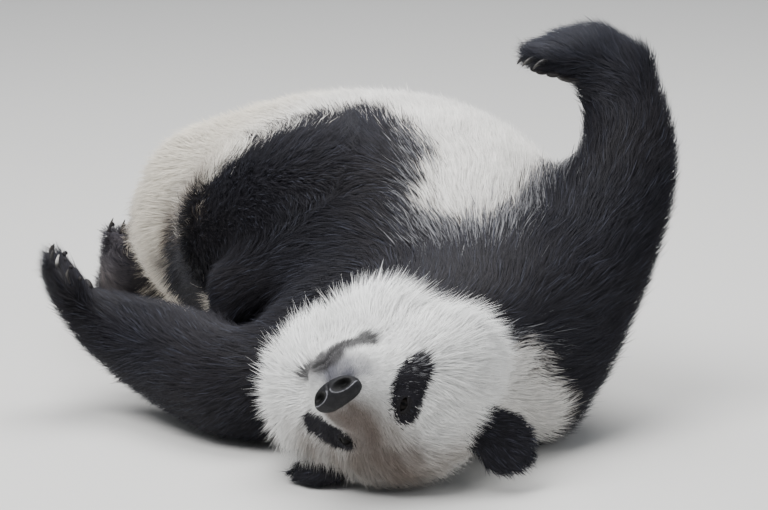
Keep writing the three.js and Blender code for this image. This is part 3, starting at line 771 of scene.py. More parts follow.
# Tinted places: where, how wide, in which colour and how strong. Most are stains; the grey-brown ones
# darken the head's underside and the rump low by the floor, and one on the right forepaw is a painted bluish
# sheen. The head's are in its own frame, and the others in the model's.
headTints = [
    ((0.134, -0.006, -0.046), 0.024, "muzzle", 0.85),
    ((0.143, -0.003, -0.036), 0.016, "muzzle", 0.95),
    ((0.139, -0.02, -0.03), 0.024, "muzzle", 0.9),
    ((0.126, -0.036, -0.027), 0.02, "muzzle", 0.55),
    ((0.118, 0.024, -0.048), 0.02, "muzzle", 0.8),
    ((0.126, 0.021, 0.011), 0.024, "bridge", 1.05),
    ((0.108, 0.021, 0.022), 0.026, "bridge", 1.0),
    ((0.117, -0.006, 0.02), 0.02, "bridge", 0.7),
    ((0.108, 0.002, 0.028), 0.024, "bridge", 0.85),
    ((0.097, 0.008, 0.036), 0.026, "bridge", 0.85),
    ((0.087, 0.02, 0.042), 0.028, "bridge", 0.85),
    ((0.062, 0.03, 0.062), 0.036, "bridge", 0.9),
    ((0.055, 0.002, 0.076), 0.034, "bridge", 0.9),
    ((0.029, 0.022, 0.088), 0.038, "bridge", 0.9),
    ((0.004, 0.032, 0.084), 0.036, "bridge", 0.85),
    ((0.131, -0.003, 0.01), 0.016, "bridge", 0.85),
    ((0.047, 0.106, 0.012), 0.032, "bridge", 0.75),
    # grey-brown marks that darken the underside of the head, on the side that lies towards the floor
    ((0.068, 0.114, -0.01), 0.03, "greyBrown", 0.35),
    ((0.046, 0.08, 0.04), 0.04, "greyBrown", 0.6),
    ((0.047, 0.06, 0.056), 0.036, "greyBrown", 0.65),
    ((0.002, 0.01, 0.096), 0.042, "greyBrown", 0.75),
    ((-0.012, -0.04, 0.098), 0.04, "greyBrown", 0.65),
    ((0.076, -0.018, 0.05), 0.02, "greyBrown", 0.5),
]
bodyTints = [
    ((-0.265, 0.062, 0.25), 0.04, "greyBrown", 0.75),
    ((-0.243, 0.085, 0.292), 0.034, "greyBrown", 0.4),
    ((-0.288, 0.11, 0.2), 0.03, "greyBrown", 0.6),
    ((-0.314, 0.14, 0.1), 0.032, "fringe", 0.6),
    ((-0.306, 0.15, 0.131), 0.024, "fringe", 0.8),
    ((-0.292, 0.097, 0.15), 0.032, "fringe", 0.95),
    # grey-brown marks low on the rump, towards the floor
    ((-0.33, 0.23, 0.08), 0.07, "greyBrown", 0.55),
    ((-0.3, 0.35, 0.08), 0.09, "greyBrown", 0.4),
]
blackStainsAndSheen = [
    ((-0.396, 0.362, 0.074), 0.036, "sole", 0.9),
    ((-0.378, 0.318, 0.118), 0.055, "foot", 0.8),
    # painted bluish sheen on the top of the right forepaw
    ((0.235, -0.15, 0.49), 0.09, "paintedPawSheen", 0.8),
]
# Where the border runs further out than the parts below it say: place, reach, and how far.
borderShifts = [
    ((-0.276, 0.06, 0.212), 0.042, 0.026),
    ((-0.217, 0.03, 0.285), 0.04, -0.029),
    ((-0.036, -0.022, 0.382), 0.05, 0.018),
    ((0.04, -0.15, 0.355), 0.045, 0.01),
    ((-0.276, 0.086, 0.136), 0.038, 0.085),
    ((-0.272, 0.15, 0.086), 0.038, 0.19),
    ((-0.276, 0.11, 0.108), 0.034, 0.11),
    ((-0.246, 0.16, 0.062), 0.034, 0.17),
    ((-0.292, 0.122, 0.153), 0.028, 0.055),
    ((-0.298, 0.125, 0.202), 0.03, 0.045),
    ((-0.012, -0.006, 0.383), 0.032, 0.016),
    ((0.196, -0.352, 0.04), 0.036, -0.15),
]

# The dark band round the mouth, over the coat of the head.
smudge = {
    "line": [(0.078, 0.05, -0.072), (0.088, 0.038, -0.07), (0.112, 0.02, -0.064), (0.131, 0.005, -0.056),
             (0.13, -0.007, -0.058), (0.118, -0.016, -0.064), (0.106, -0.027, -0.067), (0.09, -0.035, -0.066),
             (0.08, -0.04, -0.066)],
    "width": (0.011, 0.021),  # all dark within the first, and gone past the second
    "grain": (0.0015, 0.02, 8),  # spread, size and seed
    "strength": 0.93,
}
tones = {
    "rumpSlope": 0.9,
    "rumpFrom": (0.1, 0.34),
    "whiteGrain": (0.95, 0.15, 0.025, 5),  # middle, spread, size and seed
    "blackGrain": (0.85, 0.3, 0.02, 6),
    "clouds": (1, 0.05, 0.12, 3),
    "brown": (0.5, 0.5, 0.25, 9),
    "brownShare": 0.05,
    "limits": (0.02, 0.95),
}


def grainOf(co, name):
    middle, spread, size, seed = tones[name]
    return middle + spread * mottle(co, size, seed)


def tinted(colour, stains, places, grain, share=1):
    for at, radius, name, strength in stains:
        near = bell(lengthOf(places - np.array(at)), radius) * grain * share
        colour = mixed(colour, np.array(colours[name]), np.clip(near * strength, 0, 1)[:, None])
    return colour


def coatColours(co, kinds, share):
    paint = {name: np.array(rgb) for name, rgb in colours.items()}
    rump = ramp(co[:, 1] - tones["rumpSlope"] * co[:, 0], *tones["rumpFrom"])[:, None]
    onHead = np.maximum(share, ofKind(kinds, "head"))
    white = mixed(mixed(paint["belly"], paint["rump"], rump), paint["head"], onHead[:, None])
    grain = grainOf(co, "whiteGrain")
    white = tinted(white, headTints, toHead(co), grain, onHead)
    white = tinted(white, bodyTints, co, grain)
    spread, size, seed = smudge["grain"]
    lips = distanceToLine(toHead(co), smudge["line"]) + spread * mottle(co, size, seed)
    dark = (1 - ramp(lips, *smudge["width"])) * onHead
    white = mixed(white, paint["lips"], smudge["strength"] * dark[:, None])
    white *= grainOf(co, "clouds")[:, None]
    brown = np.clip(grainOf(co, "brown"), 0, 1)[:, None]
    black = mixed(paint["black"], paint["border"], tones["brownShare"] * brown)
    return np.clip(white, *tones["limits"]), tinted(black, blackStainsAndSheen, co, grainOf(co, "blackGrain"))


# ---- materials ----

def newMaterial(name):
    material = bpy.data.materials.new(name)
    material.use_nodes = True
    tree = material.node_tree
    return material, tree, tree.nodes["Principled BSDF"]


def addNode(tree, kind, **values):
    node = tree.nodes.new(kind)
    for key, value in values.items():
        setattr(node, key, value)
    return node


def setInputs(node, values):
    for key, value in values.items():
        node.inputs[key].default_value = value


def noiseOf(tree, scale, detail=3.0, roughness=0.55):
    place = addNode(tree, "ShaderNodeTexCoord")
    noise = addNode(tree, "ShaderNodeTexNoise")
    setInputs(noise, {"Scale": scale, "Detail": detail, "Roughness": roughness})
    tree.links.new(place.outputs["Object"], noise.inputs["Vector"])
    return noise.outputs["Fac"]


def rangeOf(tree, value, low, high):
    node = addNode(tree, "ShaderNodeMapRange")
    setInputs(node, {"From Min": 0.3, "From Max": 0.7, "To Min": low, "To Max": high})
    tree.links.new(value, node.inputs["Value"])
    return node.outputs["Result"]


def bumpOf(tree, height, strength, distance):
    bump = addNode(tree, "ShaderNodeBump")
    setInputs(bump, {"Strength": strength, "Distance": distance})
    tree.links.new(height, bump.inputs["Height"])
    return bump.outputs["Normal"]


def paintedBy(tree, shader, attribute, low, high, scale):
    paint = addNode(tree, "ShaderNodeAttribute", attribute_name=attribute)
    shade = addNode(tree, "ShaderNodeMix", data_type="RGBA", blend_type="MULTIPLY")
    shade.inputs["Factor"].default_value = 1
    tree.links.new(paint.outputs["Color"], shade.inputs["A"])
    grey = addNode(tree, "ShaderNodeCombineColor")
    value = rangeOf(tree, noiseOf(tree, scale), low, high)
    for channel in ("Red", "Green", "Blue"):
        tree.links.new(value, grey.inputs[channel])
    tree.links.new(grey.outputs["Color"], shade.inputs["B"])
    tree.links.new(shade.outputs["Result"], shader.inputs["Base Color"])


furLooks = {
    "white": {"roughness": (0.62, 0.85), "sheen": 0.2, "sheenTint": (1.0, 0.99, 0.97, 1), "specular": 0.2},
    "black": {"roughness": (0.52, 0.72), "sheen": 0.03, "sheenTint": (0.65, 0.7, 0.85, 1), "specular": 0.18},
}


def furMaterial(name, look):
    material, tree, shader = newMaterial(name)
    paintedBy(tree, shader, "coatColour", 0.86, 1.12, 70)
    tree.links.new(rangeOf(tree, noiseOf(tree, 220), *look["roughness"]), shader.inputs["Roughness"])
    setInputs(shader, {"Sheen Weight": look["sheen"], "Sheen Roughness": 0.45,
                       "Sheen Tint": look["sheenTint"], "Specular IOR Level": look["specular"]})
    return material


def skinMaterial():
    material, tree, shader = newMaterial("underCoat")
    paintedBy(tree, shader, "coatColour", 0.7, 1.1, 160)
    setInputs(shader, {"Roughness": 0.9, "Specular IOR Level": 0.15})
    tree.links.new(bumpOf(tree, noiseOf(tree, 420, 6), 0.6, 0.002), shader.inputs["Normal"])
    return material


def leatherMaterial(name, cell, roughness):
    material, tree, shader = newMaterial(name)
    place = addNode(tree, "ShaderNodeTexCoord")
    cells = addNode(tree, "ShaderNodeTexVoronoi")
    cells.inputs["Scale"].default_value = 1 / cell
    tree.links.new(place.outputs["Object"], cells.inputs["Vector"])
    tree.links.new(bumpOf(tree, cells.outputs["Distance"], 0.5, 0.0005), shader.inputs["Normal"])
    tree.links.new(rangeOf(tree, noiseOf(tree, 120), *roughness), shader.inputs["Roughness"])
    paintedBy(tree, shader, "coatColour", 0.7, 1.4, 260)
    shader.inputs["Specular IOR Level"].default_value = 0.22
    return material


def eyeMaterial():
    material, tree, shader = newMaterial("wetEye")
    paintedBy(tree, shader, "coatColour", 0.8, 1.2, 900)
    setInputs(shader, {"Roughness": 0.3, "Specular IOR Level": 0.04, "Coat Weight": 0.09,
                       "Coat Roughness": 0.03})
    return material


def hornMaterial():
    material, tree, shader = newMaterial("horn")
    paintedBy(tree, shader, "coatColour", 0.7, 1.3, 340)
    tree.links.new(rangeOf(tree, noiseOf(tree, 300), 0.25, 0.45), shader.inputs["Roughness"])
    tree.links.new(bumpOf(tree, noiseOf(tree, 700), 0.25, 0.0004), shader.inputs["Normal"])
    return material


# ---- nose, eyes, claws and pads ----

def makeNose():
    shares = {}

    def shape(u):
        a, b, c = u[:, 0], u[:, 2], -u[:, 1]
        fuller = (np.abs(a) ** 2.3 + np.abs(b) ** 2.3 + np.abs(c) ** 2.3) ** (-1 / 2.3)
        a, b, c = a * fuller, b * fuller * (1 + 0.1 * c), c * fuller
        size = np.array(nose["size"])
        dent, rim = np.zeros(len(a)), np.zeros(len(a))
        for side in (1, -1):
            away = np.stack([side * b, c], axis=1) - nose["nostril"]
            away = away / nose["nostrilSize"]
            far = lengthOf(away)
            opened = unit(away) @ np.array((0.25, -0.97))
            dent = np.maximum(dent, (1 - ramp(far, 0.0, 1.0)) * (a > 0))
            ridge = bell(far - 1.06, 0.085) * (1 - ramp(opened, -0.25, 0.3)) * (a > 0)
            rim = np.maximum(rim, ridge)
        groove = bell(b, 0.055) * ramp(-c, -0.15, 0.35) * (a > 0)
        shares["dent"], shares["rim"] = dent, rim
        front = nose["rim"] * rim - nose["nostrilDepth"] * dent - 0.0018 * groove + 0.0012 * bell(b, 0.3)
        point = np.stack([a, b, c], axis=1) * size
        point += np.array((1, 0, 0)) * front[:, None]
        return fromHead(np.array(nose["at"]) + point)
    mesh = ballMesh("nose", shape, 144, 96)
    leather, hollowShade = np.array(nose["leather"]), np.array(nose["hollowShade"])
    colour = mixed(leather, hollowShade, ramp(shares["dent"], 0, 0.2)[:, None])
    # the rims are painted lighter: partly a drier edge of the leather and partly a painted highlight
    lit = (ramp(shares["rim"], 0.45, 0.95) * (1 - ramp(shares["dent"], 0.02, 0.2)))[:, None]
    return painted(mesh, mixed(colour, np.array(nose["rimColour"]), lit))


eyeLooks = {
    "iris": (0.004, 0.003, 0.0025),
    "rim": (0.004, 0.003, 0.003),
    "pupil": (0.001, 0.001, 0.001),
    "bulge": 0.0007,
}


def makeEye(side):
    centre, axes = eyeFrames[side]
    shares = {}

    def shape(u):
        forward, across, up = u[:, 2], u[:, 0], u[:, 1]
        shares["off"] = np.hypot(across, up)
        shares["slit"] = np.abs(across) * 2.2 + np.abs(up) * 0.75
        radius = face["eyeRadius"] + eyeLooks["bulge"] * ramp(forward, 0.75, 0.95)
        return fromHead(centre + (np.stack([forward, across, up], axis=1) * radius[:, None]) @ axes)
    mesh = ballMesh("eye", shape, 64, 64)
    iris, rim = np.array(eyeLooks["iris"]), np.array(eyeLooks["rim"])
    colour = mixed(iris, rim, ramp(shares["off"], 0.5, 0.66)[:, None])
    pupil = (1 - ramp(shares["slit"], 0.34, 0.42))[:, None]
    return painted(mesh, mixed(colour, np.array(eyeLooks["pupil"]), pupil))


claw = {
    "length": {"arm_right": 0.0105, "arm_left": 0.008, "leg_left": 0.0105, "leg_right": 0.0085},
    "sink": 0.014,
    "radius": 0.0038,
    "curl": 1.1,
    "root": (0.03, 0.027, 0.026),
    "tip": (0.048, 0.044, 0.04),
    "pale": ("arm_left", 1),  # one claw is worn white, and stands out of the fur
    "paleLength": 0.013,
    "paleTip": (0.52, 0.5, 0.47),
}


def makeClaw(name, n):
    leg = legs[name]
    pale = (name, n) == claw["pale"]
    length = claw["paleLength"] if pale else claw["length"][name]
    origin, axes = pawPlace(leg)
    paw = paws[leg["paw"]]
    start = toePlace(paw, n) + (paw["toeRadius"] - 0.002 - claw["sink"], 0, -0.002)
    long = (length + claw["sink"]) / claw["curl"]
    shares = {}

    def shape(u):
        t = (u[:, 2] + 1) / 2
        shares["t"] = t
        bend = claw["curl"] * t
        thick = claw["radius"] * np.sqrt(np.maximum(1 - t ** 2.2, 0)) * (1 - 0.35 * t)
        ring = unit(u[:, :2]) * thick[:, None] * np.minimum(1, np.hypot(u[:, 0], u[:, 1]) * 2.5)[:, None]
        centre = np.stack([long * np.sin(bend), 0 * t, long * (np.cos(bend) - 1)], axis=1)
        up = np.stack([np.sin(bend), 0 * t, np.cos(bend)], axis=1)
        across = np.array((0, 0.72, 0))
        return origin + (start + centre + ring[:, :1] * across + ring[:, 1:] * up) @ axes
    mesh = ballMesh("claw", shape, 16, 24)
    tip = np.array(claw["paleTip" if pale else "tip"])
    return painted(mesh, mixed(np.array(claw["root"]), tip, ramp(shares["t"], 0.45, 0.75)[:, None]))


pads = {
    "palm": {"at": 0.06, "size": (0.022, 0.034, 0.008)},
    "toe": {"size": (0.0095, 0.0078, 0.0042)},
    "share": {"bentFront": 0.9, "straightFront": 0.32, "hind": 0.45},  # how large they show out of the fur
    "colour": (0.02, 0.018, 0.018),
}


def padPlaces(kind):
    paw, palm = paws[kind], pads["palm"]
    share = pads["share"][kind]
    shown = np.array((share, share, 0.3 + 0.7 * share))
    places = [(np.array([palm["at"], 0, -0.82 * paw["palm"][2]]), palm["size"] * shown)]
    below = np.array([0.002, 0, -0.8 * paw["toeRadius"]])
    return places + [(toePlace(paw, n) + below, pads["toe"]["size"] * shown) for n in range(5)]


def makePads(leg):
    origin, axes = pawPlace(leg)
    meshes = [ballMesh("pad", lambda u: origin + (at + u * size) @ axes, 40, 28)
              for at, size in padPlaces(leg["paw"])]
    return [painted(mesh, np.full((len(mesh.vertices), 3), pads["colour"])) for mesh in meshes]


# How far points are from the nearest pad, as a share of its size: below one is on it.
def padShare(co):
    nearest = np.full(len(co), 9.0)
    for leg in legs.values():
        origin, axes = pawPlace(leg)
        local = (co - origin) @ axes.T
        for at, size in padPlaces(leg["paw"]):
            nearest = np.minimum(nearest, lengthOf((local - at) / size))
    return nearest


# ---- tufts ----

coat = {
    "perSquareMetre": 23800,  # curved tufts; many more straight hairs stand among them
    "hairs": 5.4,
    "sink": 0.002,
    "clump": 0.009,
    "clumpPull": (0.3, 0.1),  # on the body, and on the head
    "stray": 0.1,  # share of hairs that stand out of the coat
    "strayLift": 0.35,
    "strayLength": 0.12,
    "turn": 0.16,
    "lengthSpread": 0.14,
    "liftSpread": 4,  # in degrees, as the limits below
    "liftLimits": (6, 60),
    "widths": (1.15, 0.95),  # of curved and straight ones, against the part's
    "pieceTriangles": 190000,
    "patch": (0.0013, 0.0026),  # of each tuft on the unwrap: half its width, and its length
}


class Roots:
    # Places on the skin where tufts grow, with the values that the skin's points carry there.
    def __init__(self, skinMesh, density, count):
        self.corners = gathered(skinMesh.loops, "vertex_index", 1, np.int64).reshape(-1, 3)
        co = pointsOf(skinMesh)
        a, b, c = (co[self.corners[:, n]] for n in range(3))
        area = lengthOf(np.cross(b - a, c - a)) / 2
        weight = np.cumsum(area * density[self.corners].mean(axis=1))
        count = int(count * weight[-1])
        at = (np.arange(count) + draw.random(count)) / count * weight[-1]
        self.face = np.minimum(np.searchsorted(weight, at), len(weight) - 1)
        u, v = np.sqrt(draw.random(count)), draw.random(count)
        self.share = np.stack([1 - u, u * (1 - v), u * v], axis=1)
        uv = gathered(skinMesh.uv_layers["unwrap"].data, "uv", 2).reshape(-1, 3, 2)
        self.uv = (uv[self.face] * self.share[:, :, None]).sum(axis=1)
        self.count = count

    def of(self, values):
        values = np.asarray(values, float)
        values = values.reshape(len(values), -1)
        return (values[self.corners[self.face]] * self.share[:, :, None]).sum(axis=1)


# Neighbouring tips lean together, as in a real coat.
def clumped(roots, tips, spacing, pull):
    chosen = np.nonzero(draw.random(len(roots)) < np.minimum(1, 12000 / len(roots)))[0]
    finder = finderOf(roots[chosen])
    found = [finder.find(point) for point in roots.tolist()]
    leader = chosen[[hit[1] for hit in found]]
    near = 1 - ramp(np.array([hit[2] for hit in found]), spacing * 0.8, spacing * 1.6)
    return tips + (tips[leader] - tips) * (near * pull)[:, None]


# The points of every tuft, how far along it each lies, and their normals: a tuft is shaded
# mostly as the coat that it lies in, so that the fur looks soft.
def tuftArrays(root, normal, lie, length, width, lift, pull, curved):
    side = unit(np.cross(normal, lie))
    start = np.radians(lift * (1.3 if curved else 1))[:, None]
    end = np.radians(lift * 0.6)[:, None] if curved else start
    middle = root + (lie * np.cos(start) + normal * np.sin(start)) * length[:, None] * 0.5
    tip = middle + (lie * np.cos(end) + normal * np.sin(end)) * length[:, None] * 0.5
    tip = clumped(root, tip, coat["clump"], pull * draw.random(len(root)))
    tip[:, 2] = np.maximum(tip[:, 2], 0.0015)
    middle = mixed(middle, (root + tip) / 2, 0.35)
    middle[:, 2] = np.maximum(middle[:, 2], 0.0025)

    def ring(at, across):
        half = side * (width * across / 2)[:, None]
        ridge = normal * (width * across * 0.5)[:, None]
        return [at - half, at + ridge, at + half]
    base = root - normal * coat["sink"]
    rings = ring(base, 0.9) + (ring(middle, 0.85) if curved else []) + [tip]
    along = [0] * 3 + ([0.55] * 3 if curved else []) + [1]
    shading = [unit(normal - side * 0.4), normal, unit(normal + side * 0.4)]
    shading = shading * (2 if curved else 1) + [unit(normal + lie * 0.3)]
    return np.stack(rings, axis=1), np.array(along, float), np.stack(shading, axis=1)


def tuftFaces(curved):
    faces = [(0, 1, 2)]
    for a, b in ((1, 0), (2, 1), (0, 2)):
        faces += [(a, b, b + 3), (a, b + 3, a + 3), (a + 3, b + 3, 6)] if curved else [(a, b, 3)]
    return np.array(faces)


def arrayMesh(name, points, faces, colour, uv, shading):
    mesh = bpy.data.meshes.new(name)
    mesh.vertices.add(len(points))
    mesh.vertices.foreach_set("co", np.ascontiguousarray(points, np.float32).ravel())
    mesh.loops.add(faces.size)
    mesh.loops.foreach_set("vertex_index", np.ascontiguousarray(faces, np.int32).ravel())
    mesh.polygons.add(len(faces))
    mesh.polygons.foreach_set("loop_start", np.arange(0, faces.size, 3, dtype=np.int32))
    mesh.update(calc_edges=True)
    paintPoints(mesh, colour)
    uvLayer = mesh.uv_layers.new(name="OFBake")
    uvLayer.data.foreach_set("uv", np.ascontiguousarray(uv[faces.ravel()], np.float32).ravel())
    smoothed(mesh)
    mesh.normals_split_custom_set_from_vertices(shading.tolist())
    return mesh


# ---- making everything ----

# The head's coat by distance from the nose: near it, far from it, and the stretch between.
faceCoat = {
    "length": (0.005, 0.03, 0.03, 0.15),
    "width": (0.0008, 0.0011, 0.04, 0.14),
    "density": (7, 2.2, 0.04, 0.13),
    "tousled": (0, 1, 0.09, 0.15),
    "ruff": 0.018,  # how much longer it is low on the cheeks
    "byEye": 0.45,  # how short it is there
    "patchShorter": 0.35,
}
borders = {
    "crest": ((-0.1, 0.03, 0.3), 0.13, 1.6),  # the thigh's ridge, where hairs of both mingle more
    "mixing": (0.008, 0.0018),  # how far they mingle, on the body and on the head
    "fade": (0.01, 0.055),  # how far from a hard border, and from a soft one, hairs are brown
    "brown": (0.5, 0.9),
    "grey": 0.12,  # shares of bluish grey hairs in the black, a painted reflection of the sky, and of white ones at the chest
    "pepper": 0.55,
}

print("joining the flesh")
skinMesh, web, kinds, share = makeSkin()
print("skin:", len(skinMesh.polygons), "triangles")

co = pointsOf(skinMesh)
normals = normalsOf(skinMesh)
local = toHead(co)
towards = unit(local)
faceDistance = lengthOf(local - np.array(nose["at"]))
onHead = np.maximum(share, ofKind(kinds, "head")) * (1 - ofKind(kinds, "ear"))
fromEye = eyeDistance(co)


def overFace(name):
    near, far, *stretch = faceCoat[name]
    return mixed(near, far, ramp(faceDistance, *stretch))


ruff = ramp(local[:, 2], 0.03, -0.05) * ramp(faceDistance, 0.1, 0.16)
faceLength = overFace("length") + faceCoat["ruff"] * ruff
faceLength *= mixed(faceCoat["byEye"], 1, ramp(fromEye, 0.014, 0.045))
values = {key: web.evened(worn(kinds, key), skinSizes["blendRounds"])[:, 0] for key in coatKeys}
values["depth"] = mixed(values["depth"], headDepth(towards), onHead)
values["length"] = mixed(values["length"], faceLength, onHead)
values["lift"] = np.degrees(np.arcsin(np.clip(values["depth"] / values["length"], 0.2, 0.62)))
for key in ("width", "density"):
    values[key] = mixed(values[key], overFace(key), onHead)

outer = co + normals * values["depth"][:, None]
black = markings(outer, kinds, share)
values["length"] *= 1 - faceCoat["patchShorter"] * onHead * (black > 0)
whiteCoat, blackCoat = coatColours(outer, kinds, share)
lie = lieAt(co, normals, share, kinds)
lie = unit(web.evened(lie, coatLie["evening"]))
lie = unit(lie - normals * dotted(lie, normals))
swirl = sum(strength * mottle(co, size, seed) for strength, size, seed in coatLie["swirls"])[:, None]
lie = unit(lie + np.cross(normals, lie) * swirl)
print("markings and lie done")

nosePoint = (local - np.array(nose["at"])) / np.array(nose["size"])
underNose = (nosePoint ** 2).sum(axis=1) < 1
bare = underNose.copy()
for centre, axes in eyeFrames.values():
    x, y, z = ((local - centre) @ axes.T).T
    bare |= (np.abs(z) < 0.0062) & (np.abs(y) < 0.0105) & (np.abs(x) < 0.03)
bare |= (distanceToLine(local, mouthLine) < 0.0016) & (share > 0.5)
bare |= padShare(co) < 0.7
values["density"] = np.where(bare, 0, values["density"])
values["density"] *= np.where((co[:, 2] < 0.006) & (normals[:, 2] < -0.6), 0.15, 1)

skin = meshObject("skin", skinMesh, skinMaterial())
bpy.context.view_layer.objects.active = skin
skin.select_set(True)
skinMesh.uv_layers.new(name="unwrap")
bpy.ops.object.mode_set(mode="EDIT")
bpy.ops.mesh.select_all(action="SELECT")
bpy.ops.uv.smart_project(angle_limit=math.radians(66), island_margin=0.001)
bpy.ops.object.mode_set(mode="OBJECT")
print("skin unwrapped")

crest, reach, more = borders["crest"]
mingled = 1 + more * bell(lengthOf(outer - np.array(crest)), reach) + 0.4 * ramp(-outer[:, 0], 0.15, 0.25)
# on the rump's side the border is soft and brown
soft = ramp(-outer[:, 0], 0.2, 0.25) * ramp(outer[:, 2], 0.12, 0.17) * (1 - ramp(outer[:, 2], 0.25, 0.29))
tone = ramp(black, -0.003, 0.003)[:, None]
under = mixed(whiteCoat * 0.78, blackCoat, tone)
lidSkin = ((fromEye < 0.0145) | underNose)[:, None]
under = np.where(lidSkin, np.array(colours["lid"]), under)
paintPoints(skinMesh, under)

furs = {name: furMaterial(name + "Fur", look) for name, look in furLooks.items()}
paint = {name: np.array(rgb) for name, rgb in colours.items()}
skinFinder = finderOf(co)
made = {"white": [], "black": []}
for curved in (True, False):
    roots = Roots(skinMesh, values["density"], coat["perSquareMetre"] * (1 if curved else coat["hairs"]))
    at, out, along = roots.of(co), unit(roots.of(normals)), unit(roots.of(lie))
    vary = draw.normal(size=(4, roots.count))
    along = unit(along + np.cross(out, along) * (coat["turn"] * vary[0])[:, None])
    tousled = roots.of(onHead * overFace("tousled"))[:, 0]
    stray = draw.random(roots.count) < coat["stray"] * (1 + 1.5 * tousled)
    stretch = 1 + coat["lengthSpread"] * vary[1] + coat["strayLength"] * stray
    length = roots.of(values["length"])[:, 0] * np.clip(stretch, 0.6, 1.5)
    lift = roots.of(values["lift"])[:, 0] * (0.9 + coat["strayLift"] * (1 + tousled) * stray)
    lift = np.clip(lift + coat["liftSpread"] * (1 + 0.5 * tousled) * vary[2], *coat["liftLimits"])
    width = roots.of(values["width"])[:, 0] * coat["widths"][0 if curved else 1]
    pull = mixed(*coat["clumpPull"], roots.of(onHead)[:, 0])
    points, climb, shading = tuftArrays(at, out, along, length, width, lift, pull, curved)

    # each tuft has the colour of the skin under its middle, which is where it is seen
    marked = [skinFinder.find(point)[1] for point in (at + along * (length * 0.5)[:, None]).tolist()]
    browned, headShare = soft[marked], onHead[marked]
    mixing = mixed(*borders["mixing"], headShare) * roots.of(mingled)[:, 0] * (1 + 0.5 * browned)
    edge = black[marked] + mixing * (0.8 * mottle(at, 0.03, 31) + vary[3])
    dark = edge > 0
    shade = np.clip(1 + 0.07 * draw.normal(size=roots.count), 0.75, 1.2)[:, None]
    colour = np.where(dark[:, None], blackCoat[marked], whiteCoat[marked]) * shade
    fade = np.clip(1 - np.abs(edge) / mixed(*borders["fade"], browned), 0, 1)
    fade *= mixed(*borders["brown"], browned) * (1 - headShare)
    colour = mixed(colour, paint["border"] * np.where(dark, 0.9, 1.7)[:, None], fade[:, None])
    # some black hairs are painted bluish grey: a painted reflection of the sky on the black coat
    grey = (draw.random(roots.count) < borders["grey"] * (1 - 0.8 * headShare)) & dark
    colour = np.where(grey[:, None], paint["sheenGreyHair"] * shade, colour)
    chest = bell(black[marked] - 0.012, 0.03) * ramp(at[:, 0], 0, 0.06) * ramp(at[:, 2], 0.12, 0.2)
    peppered = (draw.random(roots.count) < borders["pepper"] * chest) & dark
    colour = np.where(peppered[:, None], paint["pepper"] * shade, colour)
    # each tuft is painted darker towards its root: painted shade deep in the coat
    rootShaded = colour[:, None] * mixed(0.66, 1.05, climb[None, :, None])
    halfWidth, long = coat["patch"]
    across = np.array([-1, 0, 1] * (2 if curved else 1) + [0]) * halfWidth
    uv = roots.uv[:, None] + np.stack([across, (climb - 0.5) * long], axis=1)[None]
    faces = tuftFaces(curved)
    perPiece = coat["pieceTriangles"] // len(faces)
    for name, chosen in (("black", np.nonzero(dark)[0]), ("white", np.nonzero(~dark)[0])):
        pieces = math.ceil(len(chosen) / perPiece)
        for n in range(pieces):
            part = chosen[n::pieces]
            corners = faces[None] + points.shape[1] * np.arange(len(part))[:, None, None]
            rows = [array[part].reshape(-1, array.shape[2]) for array in (points, rootShaded, uv, shading)]
            made[name].append(arrayMesh(f"coat_{name}", rows[0], corners.reshape(-1, 3), *rows[1:]))
    print("tufts:", roots.count, "curved" if curved else "straight")

total = len(skinMesh.polygons)
for name, meshes in made.items():
    for n, mesh in enumerate(meshes):
        thing = meshObject(f"coat_{name}_{n + 1}", mesh, furs[name])
        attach(thing, "root")
        total += len(mesh.polygons)
print("triangles so far:", total)
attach(skin, "root")
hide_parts(*(whiteNodes + blackNodes + faceNodes + earNodes))

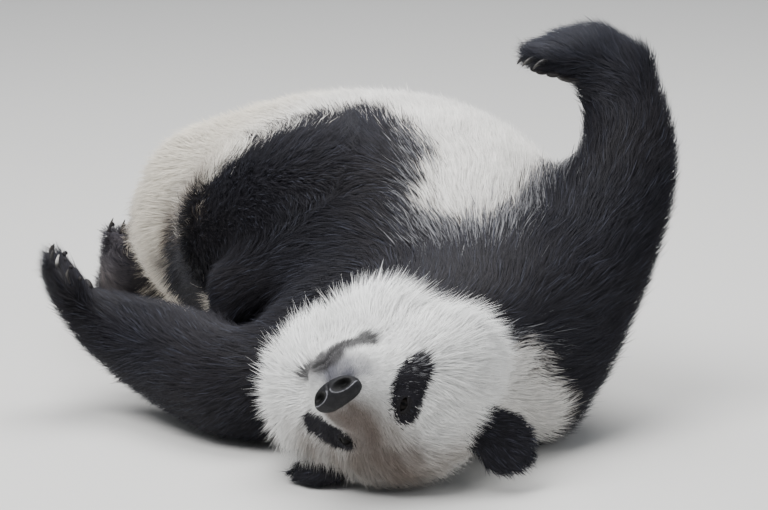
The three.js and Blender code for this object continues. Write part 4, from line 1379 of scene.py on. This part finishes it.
leather = leatherMaterial("noseLeather", 0.0013, (0.5, 0.7))
nosePiece = meshObject("noseLeatherPad", makeNose(), leather)
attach(nosePiece, "root")
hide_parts("nose")
wetEye = eyeMaterial()
for side, name in ((1, "left"), (-1, "right")):
    eye = meshObject(f"eyeball_{name}", makeEye(side), wetEye)
    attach(eye, "root")
    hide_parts(f"eye_{name}")
horn = hornMaterial()
padLeather = leatherMaterial("padLeather", 0.0022, (0.5, 0.7))
for name, leg in legs.items():
    kind, sideName = name.split("_")
    pawName = {"arm": "forepaw", "leg": "hindpaw"}[kind] + "_" + sideName
    claws = meshObject("claws_" + pawName, joined("claws", [makeClaw(name, n) for n in range(5)]), horn)
    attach(claws, "root")
    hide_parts(*(f"claw_{pawName}_{n + 1}" for n in range(5)))
    pawPads = meshObject("pads_" + pawName, joined("pads", makePads(leg)), padLeather)
    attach(pawPads, "root")
print("nose, eyes, claws and pads done")


# ---- floor, light and camera ----

stage = {
    "floor": (0.6, 0.59, 0.57, 1),
    "world": (0.8, 0.85, 0.92, 1),
    "worldStrength": 0.52,
    # each light's place, what it looks at, its size and its power
    "lights": {
        "key": ((-1.2, -1.8, 3.2), (0, 0, 0.15), 2.6, 195),
        "top": ((0.3, 0.8, 3.6), (0, 0, 0.2), 3.2, 185),
        "fill": ((3.0, -3.0, 2.0), (0, 0, 0.2), 2.5, 28),
    },
}
floorBm = bmesh.new()
bmesh.ops.create_grid(floorBm, x_segments=1, y_segments=1, size=14)
floorMaterial, _, floorShader = newMaterial("paleFloor")
setInputs(floorShader, {"Base Color": stage["floor"], "Roughness": 0.9})
floor = meshObject("floor", meshFrom(floorBm, "floor"), floorMaterial)

world = bpy.data.worlds.new("room")
world.use_nodes = True
setInputs(world.node_tree.nodes["Background"], {"Color": stage["world"], "Strength": stage["worldStrength"]})
bpy.context.scene.world = world


def areaLight(name, place, target, size, power):
    light = bpy.data.objects.new(name, bpy.data.lights.new(name, "AREA"))
    bpy.context.scene.collection.objects.link(light)
    light.data.shape = "DISK"
    light.data.size = size
    light.data.energy = power
    light.location = place
    light.rotation_euler = (Vector(target) - Vector(place)).to_track_quat("-Z", "Y").to_euler()


for name, light in stage["lights"].items():
    areaLight(name, *light)

camera = bpy.data.objects.new("camera", bpy.data.cameras.new("camera"))
bpy.context.scene.collection.objects.link(camera)
camera.location = (0, -5.54869, 1.35838)
camera.rotation_euler = (math.radians(78), 0, 0)
camera.data.lens = 203.125
bpy.context.scene.camera = camera
